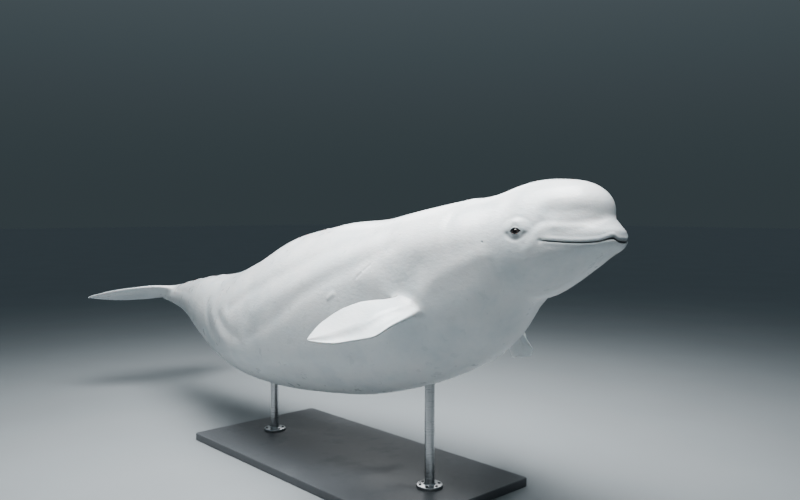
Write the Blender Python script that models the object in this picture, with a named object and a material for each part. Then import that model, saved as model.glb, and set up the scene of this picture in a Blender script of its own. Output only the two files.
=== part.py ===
# Adult beluga whale at life size, turning a little as it swims, held still on a plain display stand.
# Metres, Z up, the head towards +X. The whale is drawn straight first and bent along its spine last.
import bmesh
import bpy
import numpy as np
from math import cos, pi, sin
from mathutils import Matrix, Vector

# Straight body: distance behind the snout, height above the axis, depth below it, half width
BODY_SECTIONS = [
    (0.28, 0.1813, 0.1718, 0.1869),
    (0.36, 0.1813, 0.1718, 0.1869),
    (0.44, 0.1958, 0.2690, 0.2300),
    (0.56, 0.2043, 0.4060, 0.2830),
    (0.72, 0.2127, 0.4690, 0.3120),
    (1.00, 0.2700, 0.4880, 0.3360),
    (1.40, 0.3920, 0.4560, 0.3680),
    (1.80, 0.4380, 0.3880, 0.3520),
    (2.20, 0.3680, 0.3300, 0.3220),
    (2.60, 0.2720, 0.2840, 0.2440),
    (3.00, 0.1880, 0.2040, 0.1640),
    (3.40, 0.1080, 0.1040, 0.0860),
    (3.68, 0.0640, 0.0540, 0.0560),
    (3.84, 0.0320, 0.0270, 0.0500),
    (3.96, 0.0040, 0.0040, 0.0300),
]
CAP_START = 0.36
CAP_LENGTH = 0.20
# Rounded masses of the head: distance behind the snout, height, then the three half sizes
MELON = (0.2267, 0.1082, 0.1706, 0.1529, 0.1242)
CROWN = (0.3483, 0.0596, 0.1733, 0.1784, 0.1772)
CHEEK = (0.3990, -0.0318, 0.1657, 0.1927, 0.1782)
MUZZLE = (0.2801, -0.0036, 0.2624, 0.1480, 0.0618)
JAW = (0.3017, 0.0133, 0.2687, 0.1615, 0.1494)
# Roundness of the upper jaw's corners, from above and from the side
MUZZLE_PLAN_POWER = 2.4
MUZZLE_SIDE_POWER = 3.2
# How widely one mass runs into the next
CROWN_BLEND = 0.08
MELON_BLEND = 0.07
CHIN_BLEND = 0.03
CHEEK_BLEND = 0.06
LIP_FOLD_BLEND = 0.014
NECK_BLEND = 0.09
# Line of the mouth: distance behind the snout, height
MOUTH_LINE = [
    (-0.04, -0.0190), (0.0175, -0.0190), (0.0250, -0.0072), (0.0320, -0.0082), (0.045, -0.0130),
    (0.060, -0.0172), (0.100, -0.0196), (0.150, -0.0165), (0.200, -0.0108), (0.236, -0.0062),
    (0.262, -0.0040),
]
MOUTH_CORNER = 0.236
LIP_HEIGHT = 0.0026
LIP_DEPTH = 0.0020
# The cut between the jaws: its thickness, half its width, and its line behind the corner of the mouth
JAW_CUT = 0.0007
JAW_CUT_REACH = 0.35
JAW_HINGE_LINE = [(0.262, -0.014), (0.272, -0.06), (0.290, -0.16), (0.300, -0.32)]
# Spine: distance behind the snout, heading and climb in radians
SPINE = [
    (0.00, 0.761, 0.095), (0.48, 0.761, 0.095), (1.00, 0.802, 0.426),
    (1.80, 0.802, 0.257), (2.80, 0.898, -0.084), (4.00, 0.953, 0.174),
]
ROW_HEADING = 0.83
BANK = -0.067
SNOUT_AT = Vector((1.54, 0.07, 1.18))

# The low ridge along the back: start, end, height, and the lengths over which it rises and fades
RIDGE = (1.50, 2.46, 0.011)
RIDGE_ENDS = (0.12, 0.24)

# Where the rings of the surface start: a point inside the head and the way to the front of the mouth
HEAD_CENTRE = (0.28, 0.0, 0.035)
MOUTH_FRONT = (-1.0, 0.0, -0.1955)
HEAD_RINGS = 17
MOUTH_CLUSTER = 0.020
# Cuts between the lengths of the body
HEAD_END = 0.56
BODY_CUTS = {
    "neck": (0.56, 0.70, 4, 44),
    "torso_front": (0.70, 1.40, 9, 44),
    "torso_middle": (1.40, 2.20, 9, 40),
    "torso_rear": (2.20, 3.00, 9, 36),
    "tail_stock": (3.00, 3.915, 12, 32),
}
GAP = 0.0003
SKIN_CLEARANCE = 0.0004

EYE_AT = (0.3346, 0.2149, 0.0359)
EYE_RADIUS = 0.021
EYE_SINK = 0.0125
LID_SIZE = (0.034, 0.026, 0.0135)
LID_OPENING = (0.0170, 0.0092)
BLOWHOLE_AT = (0.475, 0.0, 0.0)
BLOWHOLE_RADIUS = 0.034
BLOWHOLE_WIDTH = 0.0055
EAR_AT = (0.4643, 0.2470, 0.0027)
EAR_RADIUS = 0.0030

# Edges of the fins, from inside the body to the tip: distance behind the snout, side, height
FLIPPER_RIGHT_LEAD = [
    (0.800, -0.160, -0.205), (0.802, -0.262, -0.232), (0.798, -0.345, -0.255),
    (0.812, -0.432, -0.282), (0.869, -0.505, -0.316), (1.006, -0.566, -0.299), (1.161, -0.601, -0.238),
]
FLIPPER_RIGHT_TRAIL = [
    (0.880, -0.190, -0.120), (0.884, -0.300, -0.155), (0.930, -0.341, -0.150),
    (0.999, -0.396, -0.134), (1.072, -0.447, -0.135), (1.153, -0.509, -0.165), (1.161, -0.601, -0.238),
]
FLIPPER_LEFT_LEAD = [
    (0.760, 0.150, -0.190), (0.775, 0.238, -0.230), (0.805, 0.318, -0.294),
    (0.845, 0.388, -0.357), (0.855, 0.436, -0.418), (0.943, 0.502, -0.440), (1.110, 0.565, -0.405),
]
FLIPPER_LEFT_TRAIL = [
    (0.850, 0.200, -0.140), (0.875, 0.325, -0.180), (0.935, 0.378, -0.190),
    (0.985, 0.448, -0.205), (1.030, 0.500, -0.225), (1.095, 0.545, -0.283), (1.110, 0.565, -0.405),
]
FLIPPER_THICKNESS = [0.046, 0.044, 0.038, 0.033, 0.028, 0.020, 0.010]
# Depth of the dip behind the flipper's front edge, and the share of the width that it takes
FLIPPER_CURL = 0.016
CURL_SHARE = 0.36
FLUKE_LEAD = [
    (3.600, 0.002, 0.030), (3.640, 0.060, 0.060), (3.680, 0.150, 0.066),
    (3.740, 0.270, 0.055), (3.830, 0.400, 0.036), (3.920, 0.490, 0.014), (3.970, 0.530, -0.002),
]
FLUKE_TRAIL = [
    (3.930, 0.002, 0.000), (3.975, 0.060, -0.004), (4.015, 0.140, -0.010),
    (4.042, 0.240, -0.014), (4.040, 0.360, -0.013), (4.010, 0.460, -0.009), (3.970, 0.530, -0.002),
]
FLUKE_THICKNESS = [0.058, 0.050, 0.040, 0.032, 0.024, 0.015, 0.008]
FIN_STATIONS = 14

BASE_SIZE = (1.70, 0.80, 0.04)
BASE_BEVEL = 0.006
ROD_RADIUS = 0.022
ROD_FLANGE = (0.060, 0.012)
FLANGE_CHAMFER = 0.002
ROD_FILLET = 0.006
# How far a rod runs up into the belly before it is cut to the belly's shape
ROD_OVERLAP = 0.08
ROD_AT = {"front": 1.15, "rear": 2.25}


def clear_scene():
    for obj in list(bpy.data.objects):
        bpy.data.objects.remove(obj, do_unlink=True)


def smooth_curve(xs, ys):
    """A curve through the stations that never swings past them."""
    xs = np.asarray(xs, float)
    ys = np.asarray(ys, float)
    width = np.diff(xs)
    slope = np.diff(ys) / width
    at = np.zeros_like(ys)
    at[0] = slope[0]
    at[-1] = slope[-1]
    for i in range(1, len(xs) - 1):
        if slope[i - 1] * slope[i] > 0:
            before = 2 * width[i] + width[i - 1]
            after = width[i] + 2 * width[i - 1]
            at[i] = (before + after) / (before / slope[i - 1] + after / slope[i])

    def value(x):
        x = np.clip(x, xs[0], xs[-1])
        i = np.clip(np.searchsorted(xs, x, side="right") - 1, 0, len(xs) - 2)
        t = (x - xs[i]) / width[i]
        start = ys[i] * (1 + 2 * t) * (1 - t) ** 2 + at[i] * width[i] * t * (1 - t) ** 2
        end = ys[i + 1] * t * t * (3 - 2 * t) + at[i + 1] * width[i] * t * t * (t - 1)
        return start + end

    return value


def column(rows, k):
    return [row[k] for row in rows]


body_top = smooth_curve(column(BODY_SECTIONS, 0), column(BODY_SECTIONS, 1))
body_under = smooth_curve(column(BODY_SECTIONS, 0), column(BODY_SECTIONS, 2))
body_side = smooth_curve(column(BODY_SECTIONS, 0), column(BODY_SECTIONS, 3))
mouth_height = smooth_curve(column(MOUTH_LINE, 0), column(MOUTH_LINE, 1))


def blend(a, b, width):
    """The nearer of two surfaces, with a soft join."""
    h = np.clip(0.5 + 0.5 * (b - a) / width, 0, 1)
    return b + (a - b) * h - width * h * (1 - h)


def ease(x):
    """A soft step from nought to one."""
    x = np.clip(x, 0, 1)
    return x * x * (3 - 2 * x)


def rounded_mass(p, mass):
    centre = np.array((mass[0], 0.0, mass[1]))
    radii = np.array(mass[2:])
    q = (p - centre) / radii
    near = np.sqrt((q ** 2).sum(-1)) + 1e-12
    steep = np.sqrt(((q / radii) ** 2).sum(-1)) + 1e-12
    return near * (near - 1) / steep


def muzzle(p):
    """The upper jaw: a broad flat box with round corners."""
    u = p[..., 0] - MUZZLE[0]
    z = p[..., 2] - MUZZLE[1]
    flat = MUZZLE_PLAN_POWER
    tall = MUZZLE_SIDE_POWER
    plan = np.abs(u / MUZZLE[2]) ** flat + np.abs(p[..., 1] / MUZZLE[3]) ** flat
    rho = (plan ** (tall / flat) + np.abs(z / MUZZLE[4]) ** tall) ** (1 / tall) + 1e-9
    return 0.6 * np.sqrt(u ** 2 + p[..., 1] ** 2 + z ** 2) * (1 - 1 / rho)


def head_shape(p):
    back = blend(rounded_mass(p, CROWN), rounded_mass(p, CHEEK), CROWN_BLEND)
    forehead = blend(rounded_mass(p, MELON), back, MELON_BLEND)
    jaws = blend(muzzle(p), rounded_mass(p, JAW), CHIN_BLEND)
    jaws = blend(jaws, back, CHEEK_BLEND)
    # The fold under the forehead is sharp in front and soft further back
    back_share = ease((p[..., 0] - 0.05) / 0.08) * ease((0.23 - p[..., 0]) / 0.06)
    return blend(forehead, jaws, LIP_FOLD_BLEND * (1 + 1.8 * back_share))


def body_shape(p):
    u = np.maximum(p[..., 0], CAP_START)
    height = np.where(p[..., 2] > 0, body_top(u), body_under(u))
    cap = np.maximum(CAP_START - p[..., 0], 0) / CAP_LENGTH
    rho = np.sqrt((p[..., 1] / body_side(u)) ** 2 + (p[..., 2] / height) ** 2 + cap ** 2) + 1e-9
    reach = np.sqrt(p[..., 1] ** 2 + p[..., 2] ** 2 + (cap * CAP_LENGTH) ** 2)
    return reach * (1 - 1 / rho)


def whale_shape(p):
    """Below nought inside the whale, above nought outside."""
    return blend(head_shape(p), body_shape(p), NECK_BLEND)


def spine_frames():
    """Points and directions along the bent spine, one row for each centimetre."""
    u = np.linspace(-0.2, 4.3, 451)
    heading = smooth_curve(column(SPINE, 0), column(SPINE, 1))(u) - ROW_HEADING
    climb = smooth_curve(column(SPINE, 0), column(SPINE, 2))(u)
    ahead = np.stack([np.cos(climb) * np.cos(heading), -np.cos(climb) * np.sin(heading), np.sin(climb)], 1)
    steps = (ahead[1:] + ahead[:-1]) / 2 * (u[1] - u[0])
    points = np.vstack([np.zeros(3), -np.cumsum(steps, 0)])
    snout = np.array([np.interp(0.0, u, points[:, k]) for k in range(3)])
    points = points - snout + np.array(SNOUT_AT)
    level = np.cross([0, 0, 1.0], ahead)
    level /= np.linalg.norm(level, axis=1)[:, None]
    above = np.cross(ahead, level)
    left = cos(BANK) * level + sin(BANK) * above
    up = cos(BANK) * above - sin(BANK) * level
    return u, points, left, up


SPINE_U, SPINE_POINTS, SPINE_LEFT, SPINE_UP = spine_frames()


def bend(p):
    """Carries points of the straight whale onto the bent spine."""
    p = np.asarray(p, float)

    def along(rows):
        return np.stack([np.interp(p[..., 0], SPINE_U, rows[:, k]) for k in range(3)], -1)

    return along(SPINE_POINTS) + along(SPINE_LEFT) * p[..., 1:2] + along(SPINE_UP) * p[..., 2:3]


def first_hits(start, ray, reach):
    """Where rays from inside the whale leave it."""
    low = np.zeros(ray.shape[:-1])
    high = np.full(ray.shape[:-1], reach)
    found = np.zeros(ray.shape[:-1], bool)
    for t in np.linspace(0, reach, 61)[1:]:
        outside = whale_shape(start + ray * t) > 0
        new = outside & ~found
        high = np.where(new, t, high)
        low = np.where(~outside & ~found, t, low)
        found |= outside
    for _ in range(26):
        middle = (low + high) / 2
        inside = whale_shape(start + ray * middle[..., None]) < 0
        low = np.where(inside, middle, low)
        high = np.where(inside, high, middle)
    return start + ray * ((low + high) / 2)[..., None]


def outward(p):
    """The direction out of the surface at points on it."""
    step = 1e-4
    slope = [whale_shape(p + step * np.eye(3)[k]) - whale_shape(p - step * np.eye(3)[k]) for k in range(3)]
    n = np.stack(slope, -1)
    return n / np.linalg.norm(n, axis=-1)[..., None]


def axis_height(u):
    return float(np.interp(u, [0.28, 0.6, 1.0, 2.0], [0.035, -0.04, -0.09, 0.0]))


def rays_of_ring(ring, phi):
    """Start and directions of one ring: ring is (distance behind the snout, angle from the mouth front)."""
    u, angle = ring
    forward = np.array(MOUTH_FRONT) / np.linalg.norm(MOUTH_FRONT)
    across = np.stack([0 * phi, np.cos(phi), np.sin(phi)], -1)
    ray = cos(angle) * forward + sin(angle) * across
    ray /= np.linalg.norm(ray, axis=-1)[..., None]
    start = np.array((u, 0.0, axis_height(u)))
    return start, ray


def mouth_angle(ring):
    """The angle round a ring at which it crosses the line of the mouth, and the radius there."""
    phi = np.linspace(-1.3, 1.3, 105)
    start, ray = rays_of_ring(ring, phi)
    hits = first_hits(start, ray, 0.8)
    over = hits[:, 2] - mouth_height(hits[:, 0])
    at = float(np.interp(0.0, over, phi))
    middle = hits[np.abs(phi - at).argmin()]
    return at, float(np.hypot(middle[1], middle[2] - start[2])) + 1e-4


def head_ring(ring, below, above):
    """One ring of the head with its points gathered along the lips."""
    at, radius = mouth_angle(ring)
    half = min(MOUTH_CLUSTER / radius, 0.40)
    lower = np.linspace(-pi / 2, at - half, below + 1)[:-1]
    lips = at + half * np.array([-1.0, -0.45, -0.15, 0.0, 0.15, 0.45, 1.0])
    upper = np.linspace(at + half, pi / 2, above + 1)[1:]
    right = np.concatenate([lower, lips, upper])
    phi = np.concatenate([right, pi - right[-2:0:-1]])
    start, ray = rays_of_ring(ring, phi)
    hits = first_hits(start, ray, 0.8)
    off = hits[:, 2] - mouth_height(hits[:, 0])
    fade = np.clip((MOUTH_CORNER + 0.012 - hits[:, 0]) / 0.035, 0, 1)
    lip = LIP_HEIGHT * np.exp(-((np.abs(off) - 0.009) / 0.005) ** 2)
    seam = LIP_DEPTH * np.exp(-(off / 0.0022) ** 2)
    return hits + ray * ((lip - seam) * fade)[:, None]


def ridge_height(u):
    start, end, height = RIDGE
    rise = np.clip((u - start) / RIDGE_ENDS[0], 0, 1)
    fall = np.clip((end - u) / RIDGE_ENDS[1], 0, 1)
    return height * float(rise * fall)


def plain_ring(u, count):
    """A ring of the trunk, from the belly round, its top point raised where the ridge runs."""
    phi = np.linspace(-pi / 2, 1.5 * pi, count, endpoint=False)
    start, ray = rays_of_ring((u, pi / 2), phi)
    hits = first_hits(start, ray, 0.8)
    hits[count // 2] += ridge_height(u) * ray[count // 2]
    return hits


def mesh_object(name, points, faces):
    mesh = bpy.data.meshes.new(name)
    mesh.from_pydata([tuple(p) for p in points], [], faces)
    obj = bpy.data.objects.new(name, mesh)
    bpy.context.scene.collection.objects.link(obj)
    bm = bmesh.new()
    bm.from_mesh(mesh)
    bmesh.ops.recalc_face_normals(bm, faces=bm.faces)
    bm.to_mesh(mesh)
    bm.free()
    return obj


def skin_rings(name, rings, tip=None):
    """A closed length of the body: rings joined by faces, flat at each end or closed at the tip."""
    count = len(rings[0])
    points = np.concatenate(rings)
    faces = []
    for i in range(len(rings) - 1):
        for j in range(count):
            k = (j + 1) % count
            faces.append((i * count + j, i * count + k, (i + 1) * count + k))
            faces.append((i * count + j, (i + 1) * count + k, (i + 1) * count + j))
    last = (len(rings) - 1) * count
    if tip is None:
        faces.append(tuple(range(count)))
    else:
        faces += [(len(points), (j + 1) % count, j) for j in range(count)]
        points = np.vstack([points, tip])
    faces.append(tuple(last + j for j in range(count)))
    return mesh_object(name, bend(points), faces)


def head_rings():
    angles = [pi / 2 * (i / (HEAD_RINGS + 1)) ** 1.15 for i in range(1, HEAD_RINGS + 1)]
    fans = [(HEAD_CENTRE[0], angle) for angle in angles]
    straight = [(u, pi / 2) for u in np.linspace(HEAD_CENTRE[0], HEAD_END - GAP / 2, 10)]
    return [head_ring(ring, 9, 11) for ring in fans + straight]


def mouth_tip():
    start, ray = rays_of_ring((HEAD_CENTRE[0], 0.0), np.zeros(1))
    return first_hits(start, ray, 0.8)[0] + 0.001 * np.array((1.0, 0.0, 0.0))


def cutter_only(obj):
    obj.hide_render = True
    obj.display_type = "WIRE"
    return obj


def combine(obj, other, operation):
    """Joins or cuts with an exact Boolean, applies it, and drops the helper."""
    modifier = obj.modifiers.new(operation.lower(), "BOOLEAN")
    modifier.operation = operation
    modifier.solver = "EXACT"
    modifier.object = other
    graph = bpy.context.evaluated_depsgraph_get()
    mesh = bpy.data.meshes.new_from_object(obj.evaluated_get(graph))
    obj.modifiers.clear()
    old = obj.data
    obj.data = mesh
    bpy.data.meshes.remove(old)
    bpy.data.objects.remove(other, do_unlink=True)


def islands(bm):
    """The separate surfaces of a mesh, as lists of faces."""
    left = set(bm.faces)
    found = []
    while left:
        stack = [left.pop()]
        island = []
        while stack:
            face = stack.pop()
            island.append(face)
            for edge in face.edges:
                for near in edge.link_faces:
                    if near in left:
                        left.discard(near)
                        stack.append(near)
        found.append(island)
    return found


def keep_island(obj, name, score):
    """A copy of the object that holds only the surface with the best score."""
    bm = bmesh.new()
    bm.from_mesh(obj.data)
    best = max(islands(bm), key=score)
    bmesh.ops.delete(bm, geom=list(set(bm.faces) - set(best)), context="FACES")
    mesh = bpy.data.meshes.new(name)
    bm.to_mesh(mesh)
    bm.free()
    kept = bpy.data.objects.new(name, mesh)
    bpy.context.scene.collection.objects.link(kept)
    return kept


def area(island):
    return sum(face.calc_area() for face in island)


def keep_largest(obj):
    name = obj.name
    obj.name = name + "_before"
    kept = keep_island(obj, name, area)
    bpy.data.objects.remove(obj, do_unlink=True)
    kept.name = name
    return kept


def mouth_cutter():
    """A thin curved slab along the mouth that turns down behind its corner, across the whole head."""
    line = [(u, float(mouth_height(u))) for u in (-0.04, 0.0, 0.017, 0.0265, 0.036, 0.045, 0.06, 0.08)]
    line += [(u, float(mouth_height(u))) for u in (0.1, 0.125, 0.15, 0.175, 0.2, 0.225, 0.243, 0.252)]
    line = np.array(line + JAW_HINGE_LINE)
    along = np.gradient(line, axis=0)
    along /= np.linalg.norm(along, axis=1)[:, None]
    side = np.stack([-along[:, 1], along[:, 0]], 1) * JAW_CUT / 2
    outline = np.vstack([line + side, (line - side)[::-1]])
    count = len(outline)
    points = [(u, y, z) for y in (-JAW_CUT_REACH, JAW_CUT_REACH) for u, z in outline]
    faces = [(j, (j + 1) % count, count + (j + 1) % count, count + j) for j in range(count)]
    strip = len(line)
    for k in range(strip - 1):
        faces.append((k, k + 1, count - 2 - k, count - 1 - k))
        faces.append((count + k + 1, count + k, 2 * count - 1 - k, 2 * count - 2 - k))
    return cutter_only(mesh_object("mouth_cutter", bend(points), faces))


def frame_at(point, side):
    """A frame on the surface: x back along the head, y up, z outward."""
    guess = np.array(point) * np.array((1.0, side, 1.0))
    start = np.array((guess[0], 0.0, guess[2]))
    ray = np.array((0.0, float(side), 0.0))
    hit = first_hits(start, ray[None], 0.5)[0]
    n = outward(hit)
    back = np.array((1.0, 0.0, 0.0)) - n * n[0]
    back /= np.linalg.norm(back)
    up = np.cross(n, back)
    if up[2] < 0:
        up = -up
    return hit, back, up, n


def placed(points, frame):
    """Points of a small piece, carried from its own frame to the bent whale."""
    hit, back, up, n = frame
    points = np.asarray(points, float)
    return bend(hit + points[:, :1] * back + points[:, 1:2] * up + points[:, 2:] * n)


def ball(name, frame, centre, radii, across, rings):
    bm = bmesh.new()
    bmesh.ops.create_uvsphere(bm, u_segments=across, v_segments=rings, radius=1.0)
    points = [tuple(v.co) for v in bm.verts]
    faces = [[v.index for v in face.verts] for face in bm.faces]
    bm.free()
    points = np.array(points) * np.array(radii) + np.array(centre)
    return mesh_object(name, placed(points, frame), faces)


def almond_cutter(frame):
    """A prism in the shape of the opening between the lids."""
    half, height = LID_OPENING
    turn = np.linspace(0, 2 * pi, 24, endpoint=False)
    rim = [(half * cos(t), height * sin(t) * (1 - 0.35 * cos(t) ** 2), 0.0) for t in turn]
    count = len(rim)
    points = [(x, y, -0.004) for x, y, z in rim] + [(1.25 * x, 1.25 * y, 0.03) for x, y, z in rim]
    faces = [(j, (j + 1) % count, count + (j + 1) % count, count + j) for j in range(count)]
    faces += [tuple(range(count)), tuple(range(count, 2 * count))]
    return cutter_only(mesh_object("lid_opening", placed(points, frame), faces))


def add_eye(head, side, word):
    frame = frame_at(EYE_AT, side)
    lid = ball("lid_" + word, frame, (0, 0, -0.002), LID_SIZE, 28, 14)
    combine(head, lid, "UNION")
    socket = EYE_RADIUS + 0.0006
    hollow = ball("socket_" + word, frame, (0, 0, -EYE_SINK), (socket,) * 3, 20, 12)
    combine(head, cutter_only(hollow), "DIFFERENCE")
    combine(head, almond_cutter(frame), "DIFFERENCE")
    return ball("eye_" + word, frame, (0, 0, -EYE_SINK), (EYE_RADIUS,) * 3, 20, 12)


def tube(name, path, radius, sides):
    """A closed round bar along a path of points of the straight whale."""
    path = np.asarray(path, float)
    along = np.gradient(path, axis=0)
    along /= np.linalg.norm(along, axis=1)[:, None]
    points = []
    for centre, ahead in zip(path, along):
        first = np.cross(ahead, (0.0, 0.0, 1.0))
        first /= np.linalg.norm(first)
        second = np.cross(ahead, first)
        for j in range(sides):
            t = 2 * pi * j / sides
            points.append(centre + radius * (cos(t) * first + sin(t) * second))
    faces = []
    for i in range(len(path) - 1):
        for j in range(sides):
            k = (j + 1) % sides
            faces.append((i * sides + j, i * sides + k, (i + 1) * sides + k, (i + 1) * sides + j))
    faces += [tuple(range(sides)), tuple((len(path) - 1) * sides + j for j in range(sides))]
    return mesh_object(name, bend(points), faces)


def top_of_head(u, y):
    start = np.array((u, y, 0.0))
    return first_hits(start, np.array([(0.0, 0.0, 1.0)]), 0.5)[0]


def cut_blowhole(head):
    """A crescent groove on top of the head, hollow side forward."""
    turn = np.linspace(-1.15, 1.15, 11)
    path = [top_of_head(BLOWHOLE_AT[0] - 0.5 * BLOWHOLE_RADIUS + BLOWHOLE_RADIUS * cos(t),
                        BLOWHOLE_RADIUS * sin(t)) for t in turn]
    combine(head, cutter_only(tube("blowhole_cutter", path, BLOWHOLE_WIDTH, 8)), "DIFFERENCE")


def cut_ear(head, side, word):
    hit, back, up, n = frame_at(EAR_AT, side)
    path = [hit + n * depth for depth in (-0.012, 0.010)]
    combine(head, cutter_only(tube("ear_cutter_" + word, path, EAR_RADIUS, 8)), "DIFFERENCE")


def fin(name, lead, trail, thickness, curl, stations):
    """A blade between two edges, rounded at the front edge and the tip."""
    lead = np.array(lead)
    trail = np.array(trail)
    index = np.arange(len(lead))
    middle = (lead + trail) / 2
    half = (trail - lead) / 2
    half[-1] = 0.4 * half[-2]
    middle_at = [smooth_curve(index, middle[:, k]) for k in range(3)]
    half_at = [smooth_curve(index, half[:, k]) for k in range(3)]
    thick_at = smooth_curve(index, thickness)
    last = len(lead) - 1.0
    s = last * np.sin(np.linspace(0, pi / 2, stations + 1))[:-1]
    centre = np.stack([f(s) for f in middle_at], 1)
    reach = np.stack([f(s) for f in half_at], 1)
    taper = (1 - np.clip(s - (last - 1), 0, 1) ** 2) ** 0.6
    reach *= taper[:, None]
    span = np.gradient(centre, axis=0)
    normal = np.cross(span, reach)
    normal /= np.linalg.norm(normal, axis=1)[:, None]
    if normal[0, 2] < 0:
        normal = -normal
    c = np.array([0.0, 0.015, 0.06, 0.15, 0.30, 0.50, 0.70, 0.86, 0.965, 1.0])
    shape = 5 * (0.2969 * np.sqrt(c) - 0.1260 * c - 0.3516 * c ** 2 + 0.2843 * c ** 3 - 0.1036 * c ** 4)
    shape[-2] = max(shape[-2], 0.05)
    dip = curl * np.sin(np.clip(c / CURL_SHARE, 0, 1) * pi)
    points = []
    for i in range(len(s)):
        for k in range(len(c)):
            inner = centre[i] + reach[i] * (2 * c[k] - 1) - normal[i] * dip[k] * taper[i] * min(1.0, s[i] / 3)
            edge = k in (0, len(c) - 1)
            height = 0.0 if edge else float(thick_at(s[i])) * shape[k]
            points.append(inner + normal[i] * height)
            points.append(inner - normal[i] * height)
    count = len(c)

    def upper(i, k):
        return 2 * (i * count + k)

    def lower(i, k):
        if k in (0, count - 1):
            return upper(i, k)
        return upper(i, k) + 1

    faces = []
    for i in range(len(s) - 1):
        for k in range(count - 1):
            faces.append((upper(i, k), upper(i + 1, k), upper(i + 1, k + 1)))
            faces.append((upper(i, k), upper(i + 1, k + 1), upper(i, k + 1)))
            faces.append((lower(i, k), lower(i + 1, k + 1), lower(i + 1, k)))
            faces.append((lower(i, k), lower(i, k + 1), lower(i + 1, k + 1)))
    tip = len(points)
    points.append(middle[-1])
    end = len(s) - 1
    for k in range(count - 1):
        faces.append((upper(end, k), tip, upper(end, k + 1)))
        faces.append((lower(end, k + 1), tip, lower(end, k)))
    for k in range(count - 1):
        corners = [upper(0, k), upper(0, k + 1), lower(0, k + 1), lower(0, k)]
        faces.append(tuple(dict.fromkeys(corners)))
    obj = mesh_object(name, bend(points), faces)
    bm = bmesh.new()
    bm.from_mesh(obj.data)
    bmesh.ops.delete(bm, geom=[v for v in bm.verts if not v.link_faces], context="VERTS")
    bm.to_mesh(obj.data)
    bm.free()
    return obj


def body_rings(start, end, lengths, count):
    return [plain_ring(u, count) for u in np.linspace(start, end, lengths + 1)]


def grown(rings, clearance):
    """The same rings pushed out by a small clearance."""
    return [ring + clearance * outward(ring) for ring in rings]


def clearance_body(part, beyond=0.0):
    """A helper just larger than one length of the body, with the same facets, drawn out at its rear end."""
    first, last, lengths, count = BODY_CUTS[part]
    rings = grown(body_rings(first + GAP / 2, last - GAP / 2, lengths, count), SKIN_CLEARANCE)
    rings[-1] = rings[-1] + np.array((beyond, 0, 0))
    return cutter_only(skin_rings("clearance", rings))


def mirror(edge):
    return [(u, -y, z) for u, y, z in edge]


def add_fins():
    flipper = (FLIPPER_THICKNESS, FLIPPER_CURL, "torso_front")
    fluke = (FLUKE_THICKNESS, 0.0, "tail_stock")
    fins = [
        ("flipper_right", FLIPPER_RIGHT_LEAD, FLIPPER_RIGHT_TRAIL, *flipper),
        ("flipper_left", FLIPPER_LEFT_LEAD, FLIPPER_LEFT_TRAIL, *flipper),
        ("fluke_left", FLUKE_LEAD, FLUKE_TRAIL, *fluke),
        ("fluke_right", mirror(FLUKE_LEAD), mirror(FLUKE_TRAIL), *fluke),
    ]
    made = []
    for name, lead, trail, thickness, curl, part in fins:
        blade = fin(name, lead, trail, thickness, curl, FIN_STATIONS)
        beyond = SKIN_CLEARANCE if part == "tail_stock" else 0.0
        combine(blade, clearance_body(part, beyond), "DIFFERENCE")
        made.append(keep_largest(blade))
    return made


def add_stand():
    width, depth, height = BASE_SIZE
    bm = bmesh.new()
    bmesh.ops.create_cube(bm, size=1.0, matrix=Matrix.Diagonal((width, depth, height, 1.0)))
    bmesh.ops.bevel(bm, geom=list(bm.edges), offset=BASE_BEVEL, segments=2, affect="EDGES", profile=0.5)
    mesh = bpy.data.meshes.new("stand_base")
    bm.to_mesh(mesh)
    bm.free()
    base = bpy.data.objects.new("stand_base", mesh)
    bpy.context.scene.collection.objects.link(base)
    base.location = (0, 0, height / 2)
    made = [base]
    for word, u in ROD_AT.items():
        belly = bend(plain_ring(u, 40))
        foot = belly[belly[:, 2].argmin()]
        made.append(add_rod(word, foot, height + GAP))
    return made


def add_rod(word, foot, bottom):
    """A round rod with a flange at its foot, cut to the shape of the belly at its top."""
    name = "stand_rod_" + word
    radius, thick = ROD_FLANGE
    edge = FLANGE_CHAMFER
    top = bottom + thick
    profile = [(0.0, bottom), (radius - edge, bottom), (radius, bottom + edge), (radius, top - edge)]
    profile += [(radius - edge, top), (ROD_RADIUS + ROD_FILLET, top), (ROD_RADIUS, top + ROD_FILLET)]
    profile += [(ROD_RADIUS, float(foot[2]) + ROD_OVERLAP)]
    sides = 28
    points = [(0.0, 0.0, bottom)]
    for r, z in profile[1:]:
        points += [(r * cos(2 * pi * j / sides), r * sin(2 * pi * j / sides), z) for j in range(sides)]
    rows = len(profile) - 1
    faces = [(0, 1 + (j + 1) % sides, 1 + j) for j in range(sides)]
    for i in range(rows - 1):
        for j in range(sides):
            k = (j + 1) % sides
            low = 1 + i * sides
            faces.append((low + j, low + k, low + sides + k, low + sides + j))
    faces.append(tuple(1 + (rows - 1) * sides + j for j in range(sides)))
    points = np.array(points) + np.array((foot[0], foot[1], 0.0))
    rod = mesh_object(name, points, faces)
    for part, (first, last, lengths, count) in BODY_CUTS.items():
        if first < ROD_AT[word] < last:
            combine(rod, clearance_body(part), "DIFFERENCE")
    return keep_largest(rod)


def material(name, color, roughness, metallic):
    made = bpy.data.materials.new(name)
    made.use_nodes = True
    shader = made.node_tree.nodes["Principled BSDF"]
    shader.inputs["Base Color"].default_value = (*color, 1.0)
    shader.inputs["Roughness"].default_value = roughness
    shader.inputs["Metallic"].default_value = metallic
    made.diffuse_color = (*color, 1.0)
    return made


LOOKS = {
    "eye": ((0.020, 0.014, 0.012), 0.08, 0.0),
    "stand_base": ((0.105, 0.112, 0.120), 0.45, 0.0),
    "stand_rod": ((0.560, 0.570, 0.580), 0.32, 1.0),
    "skin": ((0.800, 0.830, 0.850), 0.35, 0.0),
}


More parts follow.
